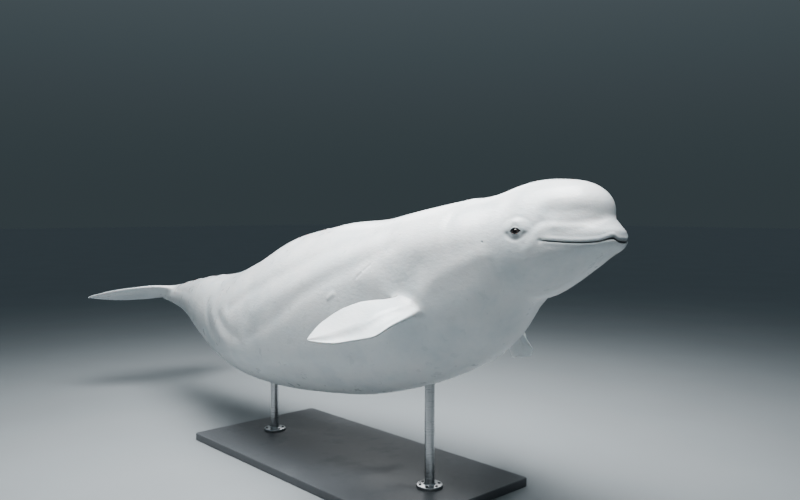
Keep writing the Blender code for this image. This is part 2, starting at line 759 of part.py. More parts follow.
def finish(obj):
    """Gives a part its colour, its smooth shading and its own centre."""
    kind = next((word for word in LOOKS if obj.name.startswith(word)), "skin")
    obj.data.materials.clear()
    obj.data.materials.append(material(obj.name + "_surface", *LOOKS[kind]))
    obj.data.shade_smooth()
    obj.data.set_sharp_from_angle(angle=0.7)
    low = Vector([min(v.co[k] for v in obj.data.vertices) for k in range(3)])
    high = Vector([max(v.co[k] for v in obj.data.vertices) for k in range(3)])
    centre = (low + high) / 2
    obj.data.transform(Matrix.Translation(-centre))
    obj.location = obj.location + centre


def build():
    clear_scene()
    whole = skin_rings("head_block", head_rings(), mouth_tip())
    combine(whole, mouth_cutter(), "DIFFERENCE")
    head = keep_island(whole, "head", area)
    jaw = keep_island(whole, "lower_jaw", lambda part: -area(part))
    bpy.data.objects.remove(whole, do_unlink=True)
    parts = [jaw]
    for side, word in ((1, "left"), (-1, "right")):
        parts.append(add_eye(head, side, word))
        cut_ear(head, side, word)
    cut_blowhole(head)
    parts.append(keep_largest(head))
    for name, (start, end, lengths, count) in BODY_CUTS.items():
        parts.append(skin_rings(name, body_rings(start + GAP / 2, end - GAP / 2, lengths, count)))
    parts += add_fins()
    parts += add_stand()
    for obj in parts:
        finish(obj)


if __name__ == "__main__":
    build()
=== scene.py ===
from math import cos, pi, radians, sin

import bmesh
import bpy
import numpy as np
from bpy.props import FloatProperty, FloatVectorProperty, IntProperty, PointerProperty
from bpy.types import Operator, Panel, PropertyGroup
from mathutils import Matrix, Vector
from mathutils.bvhtree import BVHTree


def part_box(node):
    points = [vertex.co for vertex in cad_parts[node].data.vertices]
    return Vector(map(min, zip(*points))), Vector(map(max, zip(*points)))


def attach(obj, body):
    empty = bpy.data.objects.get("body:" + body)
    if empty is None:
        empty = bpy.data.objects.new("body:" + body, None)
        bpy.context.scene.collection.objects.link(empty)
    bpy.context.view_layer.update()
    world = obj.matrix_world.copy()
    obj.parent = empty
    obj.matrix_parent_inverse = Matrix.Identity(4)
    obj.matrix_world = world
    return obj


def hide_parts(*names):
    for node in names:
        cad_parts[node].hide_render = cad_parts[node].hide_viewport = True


bl_info = {
    "name": "Beluga whale on a stand",
    "version": (1, 0, 0),
    "blender": (4, 5, 0),
    "location": "3D View > Sidebar > Beluga",
    "description": "Builds the skin, eyes, stand and stage of a life-size beluga whale model",
    "category": "Object",
}

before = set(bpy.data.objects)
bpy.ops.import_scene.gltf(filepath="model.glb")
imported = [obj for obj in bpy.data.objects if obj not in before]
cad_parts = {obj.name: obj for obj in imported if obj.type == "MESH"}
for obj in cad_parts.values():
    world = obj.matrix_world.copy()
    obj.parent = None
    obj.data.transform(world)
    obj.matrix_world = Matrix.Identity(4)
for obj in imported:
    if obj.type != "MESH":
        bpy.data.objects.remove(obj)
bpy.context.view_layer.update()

FLESH = (
    "head", "lower_jaw", "neck", "torso_front", "torso_middle", "torso_rear", "tail_stock",
    "flipper_left", "flipper_right", "fluke_left", "fluke_right",
)
EYES = ("eye_left", "eye_right")
RODS = ("stand_rod_front", "stand_rod_rear")
LEFT_RIGHT = (1, -1)

# The whale is shaped on a straight axis and bent to its pose last. A point there is the distance behind
# the snout, the distance to the left and the height, in metres. Stretches along it are start, end, and
# the lengths over which they ease in and out.

# How widely one mass runs into the next
CROWN_BLEND = 0.08
MELON_BLEND = 0.07
CHIN_BLEND = 0.03
CHEEK_BLEND = 0.06
NECK_BLEND = 0.09
# The fold between forehead and jaws, and how much softer it is along the cheek
LIP_FOLD_BLEND = 0.014
SOFT_FOLD = 1.8
SOFT_FOLD_STRETCH = (0.05, 0.23, 0.08, 0.06)
# Roundness of the upper jaw's corners, from above and from the side, and what makes its measure a distance
MUZZLE_PLAN_POWER = 2.4
MUZZLE_SIDE_POWER = 3.2
MUZZLE_SCALE = 0.6

# Straight body: distance behind the snout, height above the axis, depth below it, half width
BODY_SECTIONS = [
    (0.28, 0.1813, 0.1718, 0.1869), (0.36, 0.1813, 0.1718, 0.1869), (0.44, 0.1958, 0.2690, 0.2300),
    (0.56, 0.2043, 0.4060, 0.2830), (0.72, 0.2127, 0.4690, 0.3120), (1.00, 0.2700, 0.4880, 0.3360),
    (1.40, 0.3920, 0.4560, 0.3680), (1.80, 0.4380, 0.3880, 0.3520), (2.20, 0.3680, 0.3300, 0.3220),
    (2.60, 0.2720, 0.2840, 0.2440), (3.00, 0.1880, 0.2040, 0.1640), (3.40, 0.1080, 0.1040, 0.0860),
    (3.68, 0.0640, 0.0540, 0.0560), (3.82, 0.0310, 0.0260, 0.0480), (3.90, 0.0060, 0.0050, 0.0360),
    (3.96, 0.0040, 0.0040, 0.0300),
]
# The body's round front end, hidden in the head
CAP_START = 0.36
CAP_LENGTH = 0.20
# Masses of the head: the centre's distance behind the snout and its height, then half the mass's length,
# width and height
MELON = (0.2267, 0.1082, 0.1706, 0.1529, 0.1242)
CROWN = (0.3483, 0.0596, 0.1733, 0.1784, 0.1772)
CHEEK = (0.3990, -0.0318, 0.1657, 0.1927, 0.1782)
MUZZLE = (0.2801, -0.0036, 0.2624, 0.1480, 0.0618)
JAW = (0.3017, 0.0133, 0.2687, 0.1615, 0.1494)
# Line of the mouth: distance behind the snout, height
MOUTH_LINE = [
    (-0.04, -0.0190), (0.0175, -0.0190), (0.0250, -0.0072), (0.0320, -0.0082), (0.045, -0.0130),
    (0.060, -0.0172), (0.100, -0.0196), (0.150, -0.0165), (0.200, -0.0108), (0.236, -0.0062),
    (0.262, -0.0040),
]
MOUTH_CORNER = 0.236
# Pose: distance behind the snout, turn and climb of the spine in radians
SPINE = [
    (0.00, 0.761, 0.095), (0.48, 0.761, 0.095), (1.00, 0.802, 0.426),
    (1.80, 0.802, 0.257), (2.80, 0.898, -0.084), (4.00, 0.953, 0.174),
]
# The turn at which the whale looks along X, its roll to the side, and the place of its snout
ROW_HEADING = 0.83
BANK = -0.067
SNOUT_AT = (1.54, 0.07, 1.18)

# Rings of points: the head's fan out from its centre toward the mouth, the body's stand on its axis, whose
# height is given at distances behind the snout
HEAD_CENTRE_U = 0.28
MOUTH_FRONT = (-1.0, 0.0, -0.1955)
HEAD_END = 0.56
TAIL_END = 3.895
AXIS_HEIGHTS = ((0.28, 0.035), (0.60, -0.04), (1.00, -0.09), (2.00, 0.0))
# How the fan crowds at the mouth, where the spacing of points starts to even out toward the neck, the
# share of points below the mouth, and the distances of the points on each side of its line
FAN_CROWDING = 1.15
EVEN_FROM = 0.31
BELOW_MOUTH_SHARE = 0.42
LIP_OFFSETS = np.array([0.0, 0.0007, 0.0015, 0.0025, 0.0038, 0.0055, 0.0078, 0.0110, 0.0155, 0.0210])
# The tail's round end: its length, and its rings as shares of the trunk's last ring
TAIL_CAP = 0.012
TAIL_CAP_RINGS = (0.85, 0.6, 0.3)
# How far rays reach, and the steps and halvings that find where they leave the whale
HEAD_REACH = 0.8
SIDE_REACH = 0.5
RAY_STEPS = 40
RAY_HALVINGS = 22

# The mouth: where its front ends, and how far past the corner the seam, the lips and the dark line reach
# and over what length each fades
FRONT_END = 0.060
FRONT_EASE = 0.045
SEAM_FADE = (0.009, 0.022)
LIP_FADE = (0.019, 0.050)
LINE_FADE = (0.011, 0.016)
SEAM_WIDTH = 0.0020
# Each lip's height off the seam and width, with the dip under the lower one. Then the lower lip's share
# of the lips' size and what the front adds, the dip's share, and how much the upper lip rises at the front
UPPER_LIP = (0.0110, 0.0068)
LOWER_LIP = (-0.0085, 0.0058)
UNDER_LIP = (-0.0200, 0.0075)
LOWER_SHARES = (0.22, 0.50)
UNDER_SHARE = -0.2
FRONT_RISE = 0.0040
# Pit at the corner of the mouth: depth, width, distance past the corner
CORNER_PIT = (0.0030, 0.007, 0.007)

# The eye, how deep its ball sits, and where the skin lies behind the ball
EYE_AT = (0.3346, 0.2149, 0.0359)
EYE_SINK = 0.0175
BEHIND_BALL = 0.0045
LID_THICKNESS = 0.0020
# Rounding where the lids leave the ball: height, width; and where all of the eye's relief fades out
LID_ROUNDING = (0.0016, 0.004)
EYE_RELIEF_END = 0.085
EYE_RELIEF_FADE = 0.03
# In shares of the opening: where the lids end, the stretch of the rings of points on them, their spacing.
# Then how far from the eye points are drawn onto the rings, and how strongly
LID_EDGE = 1.03
LID_RINGS = (0.70, 1.38, 0.12, 0.12)
RING_STEP = 0.065
LID_REACH = 0.034
GATHERING = 0.86
# Folds round the eye: height, distance from the eye, width
BROW = (0.0054, 0.0330, 0.013)
BROW_INNER_WIDTH = 0.028
BROW_CREASE = (0.0010, 0.0540, 0.006)
EYE_BAG = (0.0038, 0.0305, 0.0085)
BROW_STRETCH = 1.35
BAG_STRETCH = 1.20
# The brow's middle and width along the eye, and the height over which it comes in
BROW_SPAN = (0.004, 0.025)
BROW_FROM = -0.002
BROW_EASE = 0.014
BAG_END = 0.004

BLOWHOLE_U = 0.475
BLOWHOLE_RADIUS = 0.034
BLOWHOLE_HALF_TURN = 1.15
EAR_AT = (0.4643, 0.2470, 0.0027)
# The blowhole's slit and rim and the ear's pinhole: height, distance from the middle, width
SLIT = (-0.0130, 0.0, 0.0026)
RIM = (0.0028, 0.0080, 0.0048)
EAR_HOLE = (-0.0040, 0.0, 0.0028)

# Creases round the neck: height, distance behind the snout, width; their slant, and where they fade in
NECK_FOLDS = ((-0.0055, 0.585, 0.012), (0.0025, 0.612, 0.016))
NECK_SLANT = 0.10
NECK_FROM = -0.028
NECK_EASE = 0.14
# Low ridge along the back and the keel behind it: height, width, stretch, and the waves of its notches,
# each with its share of the height, its turns in radians a metre and its start
BACK_RIDGE = (0.0085, 0.016, (1.50, 2.46, 0.10, 0.20), ((0.30, 62, 0), (0.15, 141, 1)))
TAIL_KEEL = (0.0040, 0.010, (2.60, 3.80, 0.40, 0.20), ((0.50, 37, 0),))
# Slits in the belly: depth and width, and each one's stretch
BELLY_SLIT = (0.0050, 0.0040)
BELLY_SLITS = ((2.46, 2.62, 0.03, 0.03), (2.70, 2.76, 0.02, 0.02))
# Navel: distance behind the snout, depth, width
NAVEL = (1.95, 0.0060, 0.012)
# All relief on the body fades out before the end of the tail
RELIEF_END = 3.90
RELIEF_FADE = 0.10

# Dark marks: the face's end; the width of the mouth's line, which is darker lip skin with painted shade in
# the gap between the lips, and what the front adds; the painted shade under the upper lip's front; the
# painted shade in the blowhole and in the ear
FACE_END = 0.30
LINE_WIDTH = 0.0034
LINE_FRONT = 0.0022
BEAK_PAINTED_SHADE = (0.36, 0.0095, 0.0075)
BEAK_PAINTED_SHADE_END = (0.040, 0.012)
BLOWHOLE_PAINTED_SHADE = (1.0, 0.0, 0.0050)
EAR_PAINTED_SHADE = (0.8, 0.0, 0.0030)
# Dark rim of the lids and the soft halo round the eye, in shares of the opening: end, fade
LID_RIM = (1.32, 0.24)
HALO = (4.0, 3.0)
HALO_SHARE = 0.34
# Painted shade in the groove under the eye: strength, distance from the eye, width
BAG_PAINTED_SHADE = (0.28, 0.0290, 0.009)
# Distances off the body between which a fin's colour takes over
FIN_COLOUR = (0.02, 0.12)

# Edges of the fins, from inside the body to the tip
FLIPPER_RIGHT_LEAD = [
    (0.800, -0.160, -0.205), (0.802, -0.262, -0.232), (0.798, -0.345, -0.255),
    (0.812, -0.432, -0.282), (0.869, -0.505, -0.316), (1.006, -0.566, -0.299), (1.161, -0.601, -0.238),
]
FLIPPER_RIGHT_TRAIL = [
    (0.880, -0.190, -0.120), (0.884, -0.300, -0.155), (0.930, -0.341, -0.150),
    (0.999, -0.396, -0.134), (1.072, -0.447, -0.135), (1.153, -0.509, -0.165), (1.161, -0.601, -0.238),
]
FLIPPER_LEFT_LEAD = [
    (0.760, 0.150, -0.190), (0.775, 0.238, -0.230), (0.805, 0.318, -0.294),
    (0.845, 0.388, -0.357), (0.855, 0.436, -0.418), (0.943, 0.502, -0.440), (1.110, 0.565, -0.405),
]
FLIPPER_LEFT_TRAIL = [
    (0.850, 0.200, -0.140), (0.875, 0.325, -0.180), (0.935, 0.378, -0.190),
    (0.985, 0.448, -0.205), (1.030, 0.500, -0.225), (1.095, 0.545, -0.283), (1.110, 0.565, -0.405),
]
FLUKE_LEAD = [
    (3.600, -0.012, 0.030), (3.640, 0.060, 0.060), (3.680, 0.150, 0.066),
    (3.740, 0.270, 0.055), (3.830, 0.400, 0.036), (3.920, 0.490, 0.014), (3.970, 0.530, -0.002),
]
FLUKE_TRAIL = [
    (3.927, -0.012, 0.000), (3.975, 0.060, -0.004), (4.015, 0.140, -0.010),
    (4.042, 0.240, -0.014), (4.040, 0.360, -0.013), (4.010, 0.460, -0.009), (3.970, 0.530, -0.002),
]
FLIPPER_THICKNESS = [0.046, 0.044, 0.038, 0.033, 0.028, 0.020, 0.010]
FLUKE_THICKNESS = [0.058, 0.050, 0.040, 0.032, 0.024, 0.015, 0.008]
# Points along a fin and across one of its faces
FLIPPER_POINTS = (60, 28)
FLUKE_POINTS = (50, 26)
# Share of the chord over which a curled fin dips, and how blunt its tip is
CURL_SHARE = 0.36
TIP_POWER = 0.6
# The fins' soft joins: their reach in widths, rounds of moving points, and the end before the notch
FILL_REACH = 1.3
FILL_ROUNDS = 5
FILL_END = 3.88
FILL_FADE = 0.08
# Rounds that widen the evened band at the fins' roots, and that even it
BAND_ROUNDS = 6
EVEN_ROUNDS = 22

# Soft folds seen from the side: height, width, and the line that each follows as distance and height
FOLDS = (
    (-0.0065, 0.034, (
        (0.90, 0.150), (1.13, 0.185), (1.27, 0.199), (1.50, 0.205), (1.78, 0.191), (2.01, 0.158),
        (2.23, 0.089))),
    (0.0050, 0.040, (
        (0.99, 0.125), (1.18, 0.127), (1.38, 0.108), (1.56, 0.103), (1.75, 0.095), (1.93, 0.053))),
    (-0.0060, 0.036, (
        (0.86, 0.055), (0.98, 0.050), (1.27, 0.055), (1.47, 0.045), (1.64, 0.005), (1.84, -0.034),
        (2.01, -0.068))),
    (0.0050, 0.036, ((0.475, -0.046), (0.552, -0.077), (0.645, -0.112), (0.759, -0.172))),
    (-0.0060, 0.042, ((0.74, -0.06), (0.797, -0.107), (0.86, -0.12))),
    (0.0045, 0.045, ((0.974, -0.038), (1.05, -0.02))),
    (0.0080, 0.052, ((2.308, -0.072), (2.18, -0.134), (2.057, -0.197))),
    (0.0045, 0.050, ((1.644, -0.203), (1.454, -0.227))),
    (-0.0050, 0.035, ((2.36, 0.03), (2.24, -0.03), (2.12, -0.06))),
    (0.0028, 0.036, ((2.53, 0.09), (2.507, 0.057), (2.437, 0.009), (2.40, -0.03))),
    (-0.0026, 0.036, ((2.66, 0.08), (2.60, 0.02), (2.53, -0.04), (2.46, -0.09))),
    (-0.0020, 0.0160, ((0.231, 0.060), (0.180, 0.058), (0.128, 0.054), (0.097, 0.061), (0.071, 0.060))),
    (0.0020, 0.0130, ((0.200, 0.046), (0.158, 0.044), (0.109, 0.045), (0.081, 0.052), (0.058, 0.052))),
    (0.0030, 0.0260, ((0.140, 0.076), (0.100, 0.076), (0.060, 0.074))),
    (0.0020, 0.0180, ((0.201, 0.050), (0.230, 0.048), (0.247, 0.030), (0.263, 0.005), (0.281, -0.019))),
    (-0.0026, 0.0180, ((0.246, 0.064), (0.272, 0.040), (0.288, 0.015), (0.306, -0.009))),
    (-0.0055, 0.0310, ((0.210, 0.104), (0.157, 0.092), (0.109, 0.093))),
    (-0.0020, 0.0140, ((0.441, -0.074), (0.434, -0.142), (0.440, -0.190))),
)
# Small scars on the right flank, in the same way
MARKS = (
    (0.0036, 0.0120, ((1.238, -0.020), (1.272, -0.027))),
    (-0.0020, 0.0060, ((0.988, 0.023), (1.030, 0.012))),
    (-0.0024, 0.0070, ((1.048, 0.006), (1.072, -0.001))),
)
# Places where the skin is finer, and the radius of each round of splitting there
MARKS_AT = ((1.255, -0.361, -0.022), (1.030, -0.338, 0.012))
FLIPPER_ROOTS = ((0.840, -0.285, -0.195), (0.825, 0.265, -0.200))
EYE_FINE = (0.052, 0.036, 0.026)
EAR_FINE = (0.016, 0.010)
BLOWHOLE_FINE = (0.062, 0.047)
MARK_FINE = (0.066, 0.066)
ROOT_FINE = (0.205, 0.125)

# The stand: rounding of the plate and the flange, the weld at a rod's foot, and the top's small bevel
PLATE_CORNER = 0.018
PLATE_EDGE = 0.005
FOOT_BEVEL = 0.0015
FOOT_ROUND = 0.003
FOOT_WELD = 0.008
ROD_BEVEL = 0.0010
ROD_SIDES = 96
SCREW_HEIGHT = 0.0045
CREASE_ANGLE = radians(35)

# The studio: half the floor's width, colours of the surroundings at the horizon and high up, and the
# soft lights, each with its place, what it shines at, its width and its power
FLOOR_HALF = 60
SKY_LOW = (0.048, 0.062, 0.068)
SKY_HIGH = (0.150, 0.185, 0.205)
SKY_RISE = 0.75
LIGHT_SPREAD = radians(110)
LIGHTS = (
    ("overhead", (0.5, -0.6, 4.4), (0.0, 0.0, 0.9), 3.0, 188.0),
    ("front_fill", (4.6, -3.2, 2.6), (0.6, 0.0, 0.9), 2.6, 4.0),
    ("back_rim", (-3.4, 3.0, 3.6), (0.0, 0.0, 1.0), 2.4, 20.0),
)


class BelugaBody(PropertyGroup):
    columns: IntProperty(name="Columns", description="Points round the head", default=256)
    fan_rings: IntProperty(
        name="Snout rings", description="Rings of points in front of the head's centre", default=64)
    head_step: FloatProperty(
        name="Head step", description="Distance between rings behind the snout",
        default=0.005, unit="LENGTH")
    body_step: FloatProperty(
        name="Body step", description="Distance between rings of the body", default=0.015, unit="LENGTH")
    lip: FloatProperty(
        name="Lips", description="How far the lips stand out", default=0.0028, unit="LENGTH")
    mouth_depth: FloatProperty(
        name="Mouth line", description="Depth of the line of the mouth", default=0.0060, unit="LENGTH")
    eye_radius: FloatProperty(
        name="Eye radius", description="Radius of the eyeball", default=0.0225, unit="LENGTH")
    lid_half_length: FloatProperty(
        name="Lid opening length", description="Half the length of the opening between the lids",
        default=0.0200, unit="LENGTH")
    lid_half_height: FloatProperty(
        name="Lid opening height", description="Half the height of the opening between the lids",
        default=0.0112, unit="LENGTH")
    flipper_curl: FloatProperty(
        name="Flipper curl", description="Dip behind the flipper's front edge", default=0.016, unit="LENGTH")
    flipper_fillet: FloatProperty(
        name="Flipper root", description="Width of the soft join at a flipper's root",
        default=0.038, unit="LENGTH")
    fluke_fillet: FloatProperty(
        name="Fluke root", description="Width of the soft join at a fluke's root",
        default=0.036, unit="LENGTH")


class BelugaColours(PropertyGroup):
    white: FloatVectorProperty(
        name="White", description="Main colour of the skin",
        subtype="COLOR", default=(0.87, 0.895, 0.90), min=0, max=1)
    grey: FloatVectorProperty(
        name="Blue-grey", description="Colour of the soft mottling",
        subtype="COLOR", default=(0.54, 0.62, 0.66), min=0, max=1)
    # Colour of the dark marks: darker lips, the lids' dark rims and halo, and painted shade in the lips'
    # seam, under the upper lip, in the blowhole, the ear and under the eye
    dark_skin_and_shade: FloatVectorProperty(
        name="Crease", description="Colour in the lips' seam and the folds",
        subtype="COLOR", default=(0.10, 0.115, 0.125), min=0, max=1)
    eye: FloatVectorProperty(
        name="Eye", description="Colour of the eye",
        subtype="COLOR", default=(0.016, 0.011, 0.010), min=0, max=1)
    base: FloatVectorProperty(
        name="Base", description="Paint of the stand's base",
        subtype="COLOR", default=(0.105, 0.112, 0.120), min=0, max=1)
    rod: FloatVectorProperty(
        name="Rods", description="Steel of the stand's rods",
        subtype="COLOR", default=(0.56, 0.57, 0.58), min=0, max=1)
    floor: FloatVectorProperty(
        name="Floor", description="Colour of the floor",
        subtype="COLOR", default=(0.27, 0.292, 0.305), min=0, max=1)


class BelugaStand(PropertyGroup):
    rod_radius: FloatProperty(
        name="Rod radius", description="Radius of each rod", default=0.022, unit="LENGTH")
    flange_radius: FloatProperty(
        name="Flange radius", description="Radius of the flange at a rod's foot",
        default=0.060, unit="LENGTH")
    flange_thickness: FloatProperty(
        name="Flange thickness", description="Thickness of the flange", default=0.012, unit="LENGTH")
    bolt_circle: FloatProperty(
        name="Bolt circle", description="Radius of the circle of screws", default=0.044, unit="LENGTH")
    bolt_radius: FloatProperty(
        name="Screw radius", description="Radius of a screw's head", default=0.0065, unit="LENGTH")
    bolts: IntProperty(name="Screws", description="Screws in each flange", default=6)


class BelugaStage(PropertyGroup):
    camera_at: FloatVectorProperty(
        name="Camera", description="Place of the camera",
        subtype="XYZ", unit="LENGTH", default=(2.9957, -2.3671, 1.2680))
    camera_way: FloatVectorProperty(
        name="View", description="Direction the camera looks in",
        subtype="XYZ", default=(-0.73701, 0.67403, -0.04998))
    lens: FloatProperty(
        name="Lens", description="Focal length in millimetres on a 36 mm sensor", default=34.065)


def ease(x):
    """Nought below nought, one above one, and smooth between."""
    x = np.clip(x, 0, 1)
    return x * x * (3 - 2 * x)


def between(x, start, end, rise, fall):
    """One from start to end, eased in over the length of rise and out over that of fall."""
    return ease((x - start) / rise) * ease((end - x) / fall)


def bump(x, width):
    """One at nought, falling away on both sides."""
    return np.exp(-(x / width) ** 2)


def swelling(x, height, at, width):
    return height * bump(x - at, width)


def smooth_curve(xs, ys):
    """A curve through the stations that never swings past them."""
    xs = np.asarray(xs, float)
    ys = np.asarray(ys, float)
    width = np.diff(xs)
    slope = np.diff(ys) / width
    at = np.zeros_like(ys)
    at[0] = slope[0]
    at[-1] = slope[-1]
    for i in range(1, len(xs) - 1):
        if slope[i - 1] * slope[i] > 0:
            before = 2 * width[i] + width[i - 1]
            after = width[i] + 2 * width[i - 1]
            at[i] = (before + after) / (before / slope[i - 1] + after / slope[i])

    def value(x):
        x = np.clip(x, xs[0], xs[-1])
        i = np.clip(np.searchsorted(xs, x, side="right") - 1, 0, len(xs) - 2)
        t = (x - xs[i]) / width[i]
        start = ys[i] * (1 + 2 * t) * (1 - t) ** 2 + at[i] * width[i] * t * (1 - t) ** 2
        end = ys[i + 1] * t * t * (3 - 2 * t) + at[i + 1] * width[i] * t * t * (t - 1)
        return start + end

    return value


def curve_of(rows, k):
    """A smooth curve through column k of a table over its first column."""
    return smooth_curve([row[0] for row in rows], [row[k] for row in rows])


body_top = curve_of(BODY_SECTIONS, 1)
body_under = curve_of(BODY_SECTIONS, 2)
body_side = curve_of(BODY_SECTIONS, 3)
mouth_height = curve_of(MOUTH_LINE, 1)


def blend(a, b, width):
    """The nearer of two surfaces, with a soft join."""
    h = np.clip(0.5 + 0.5 * (b - a) / width, 0, 1)
    return b + (a - b) * h - width * h * (1 - h)


def rounded_mass(p, mass):
    centre = np.array((mass[0], 0.0, mass[1]))
    radii = np.array(mass[2:])
    q = (p - centre) / radii
    near = np.sqrt((q ** 2).sum(-1)) + 1e-12
    steep = np.sqrt(((q / radii) ** 2).sum(-1)) + 1e-12
    return near * (near - 1) / steep


def muzzle(p):
    """The upper jaw: a broad flat box with round corners."""
    u = p[..., 0] - MUZZLE[0]
    z = p[..., 2] - MUZZLE[1]
    flat = MUZZLE_PLAN_POWER
    tall = MUZZLE_SIDE_POWER
    plan = np.abs(u / MUZZLE[2]) ** flat + np.abs(p[..., 1] / MUZZLE[3]) ** flat
    rho = (plan ** (tall / flat) + np.abs(z / MUZZLE[4]) ** tall) ** (1 / tall) + 1e-9
    return MUZZLE_SCALE * np.sqrt(u ** 2 + p[..., 1] ** 2 + z ** 2) * (1 - 1 / rho)


def head_shape(p):
    back = blend(rounded_mass(p, CROWN), rounded_mass(p, CHEEK), CROWN_BLEND)
    forehead = blend(rounded_mass(p, MELON), back, MELON_BLEND)
    jaws = blend(muzzle(p), rounded_mass(p, JAW), CHIN_BLEND)
    jaws = blend(jaws, back, CHEEK_BLEND)
    fold = LIP_FOLD_BLEND * (1 + SOFT_FOLD * between(p[..., 0], *SOFT_FOLD_STRETCH))
    return blend(forehead, jaws, fold)


def body_shape(p):
    u = np.maximum(p[..., 0], CAP_START)
    height = np.where(p[..., 2] > 0, body_top(u), body_under(u))
    cap = np.maximum(CAP_START - p[..., 0], 0) / CAP_LENGTH
    rho = np.sqrt((p[..., 1] / body_side(u)) ** 2 + (p[..., 2] / height) ** 2 + cap ** 2) + 1e-9
    reach = np.sqrt(p[..., 1] ** 2 + p[..., 2] ** 2 + (cap * CAP_LENGTH) ** 2)
    return reach * (1 - 1 / rho)


def whale_shape(p):
    """Below nought inside the whale, above nought outside."""
    return blend(head_shape(p), body_shape(p), NECK_BLEND)


def shape_slope(p):
    step = 1e-4
    slope = [whale_shape(p + step * way) - whale_shape(p - step * way) for way in np.eye(3)]
    return np.stack(slope, -1) / (2 * step)


def outward(p):
    """The direction that leads out of the whale at each point."""
    n = shape_slope(p)
    return n / np.linalg.norm(n, axis=-1)[..., None]


def onto_surface(p):
    """Moves points close to the whale's surface onto it."""
    for _ in range(4):
        slope = shape_slope(p)
        p = p - slope * (whale_shape(p) / (slope ** 2).sum(-1))[..., None]
    return p


def spine_frames():
    """Points and directions along the bent spine, one row for each centimetre."""
    u = np.linspace(-0.2, 4.3, 451)
    heading = curve_of(SPINE, 1)(u) - ROW_HEADING
    climb = curve_of(SPINE, 2)(u)
    ahead = np.stack([np.cos(climb) * np.cos(heading), -np.cos(climb) * np.sin(heading), np.sin(climb)], 1)
    steps = (ahead[1:] + ahead[:-1]) / 2 * (u[1] - u[0])
    points = np.vstack([np.zeros(3), -np.cumsum(steps, 0)])
    snout = np.array([np.interp(0.0, u, points[:, k]) for k in range(3)])
    points = points - snout + np.array(SNOUT_AT)
    level = np.cross([0, 0, 1.0], ahead)
    level /= np.linalg.norm(level, axis=1)[:, None]
    above = np.cross(ahead, level)
    left = cos(BANK) * level + sin(BANK) * above
    up = cos(BANK) * above - sin(BANK) * level
    return u, points, left, up


SPINE_U, SPINE_POINTS, SPINE_LEFT, SPINE_UP = spine_frames()


def bend(p):
    """Carries points of the straight whale onto the bent spine."""
    p = np.asarray(p, float)

    def along(rows):
        return np.stack([np.interp(p[..., 0], SPINE_U, rows[:, k]) for k in range(3)], -1)

    return along(SPINE_POINTS) + along(SPINE_LEFT) * p[..., 1:2] + along(SPINE_UP) * p[..., 2:3]


def first_hits(start, ray, reach):
    """Where rays from inside the whale leave it."""
    low = np.zeros(ray.shape[:-1])
    high = np.full(ray.shape[:-1], reach)
    found = np.zeros(ray.shape[:-1], bool)
    for t in np.linspace(0, reach, RAY_STEPS + 1)[1:]:
        outside = whale_shape(start + ray * t) > 0
        new = outside & ~found
        high = np.where(new, t, high)
        low = np.where(~outside & ~found, t, low)
        found |= outside
    for _ in range(RAY_HALVINGS):
        middle = (low + high) / 2
        inside = whale_shape(start + ray * middle[..., None]) < 0
        low = np.where(inside, middle, low)
        high = np.where(inside, high, middle)
    return start + ray * ((low + high) / 2)[..., None]


def surface_point(start, way):
    """The point of the surface straight out from a point inside."""
    return first_hits(np.array(start), np.array([way]), SIDE_REACH)[0]


def rays_of_rings(u, angle, phi):
    """Starts and directions of rings; phi has one row for each ring."""
    forward = np.array(MOUTH_FRONT) / np.linalg.norm(MOUTH_FRONT)
    across = np.stack([0 * phi, np.cos(phi), np.sin(phi)], -1)
    ray = np.cos(angle)[:, None, None] * forward + np.sin(angle)[:, None, None] * across
    ray /= np.linalg.norm(ray, axis=-1)[..., None]
    start = np.stack([u, 0 * u, np.interp(u, *zip(*AXIS_HEIGHTS))], -1)[:, None, :]
    return start, ray


def head_angles(u, angle, half):
    """Angles round each head ring, gathered where it crosses the line of the mouth."""
    trial = np.linspace(-1.3, 1.3, 131)
    start, ray = rays_of_rings(u, angle, np.tile(trial, (len(u), 1)))
    hits = first_hits(start, ray, HEAD_REACH)
    over = hits[..., 2] - mouth_height(hits[..., 0])
    rows = []
    for i in range(len(u)):
        at = float(np.interp(0.0, over[i], trial))
        middle = hits[i, np.abs(trial - at).argmin()] - start[i, 0]
        radius = np.linalg.norm(middle) * max(sin(angle[i]), 0.02)
        shrink = min(1.0, 0.45 * radius / LIP_OFFSETS[-1])
        near = LIP_OFFSETS * shrink / radius
        free = half - 2 * (len(near) - 1)
        low_count = int(BELOW_MOUTH_SHARE * free)
        lower = np.linspace(-pi / 2, at - near[-1], low_count + 1)[:-1]
        upper = np.linspace(at + near[-1], pi / 2, free - low_count + 1)[1:]
        rows.append(np.concatenate([lower, at - near[:0:-1], at + near, upper]))
    return np.array(rows)


def head_grid(body):
    """Rings of points from the front of the mouth to the end of the head."""
    half = body.columns // 2
    fan = (np.arange(1, body.fan_rings + 1) / (body.fan_rings + 1)) ** FAN_CROWDING * pi / 2
    back = np.arange(HEAD_CENTRE_U, HEAD_END + 1e-6, body.head_step)
    u = np.concatenate([np.full(len(fan), HEAD_CENTRE_U), back])
    angle = np.concatenate([fan, np.full(len(back), pi / 2)])
    phi = head_angles(u, angle, half)
    even = np.linspace(-pi / 2, pi / 2, half + 1)
    relax = ease((u - EVEN_FROM) / (HEAD_END - EVEN_FROM))[:, None]
    phi = phi * (1 - relax) + even * relax
    phi = np.concatenate([phi, pi - phi[:, -2:0:-1]], 1)
    start, ray = rays_of_rings(u, angle, phi)
    return first_hits(start, ray, HEAD_REACH)


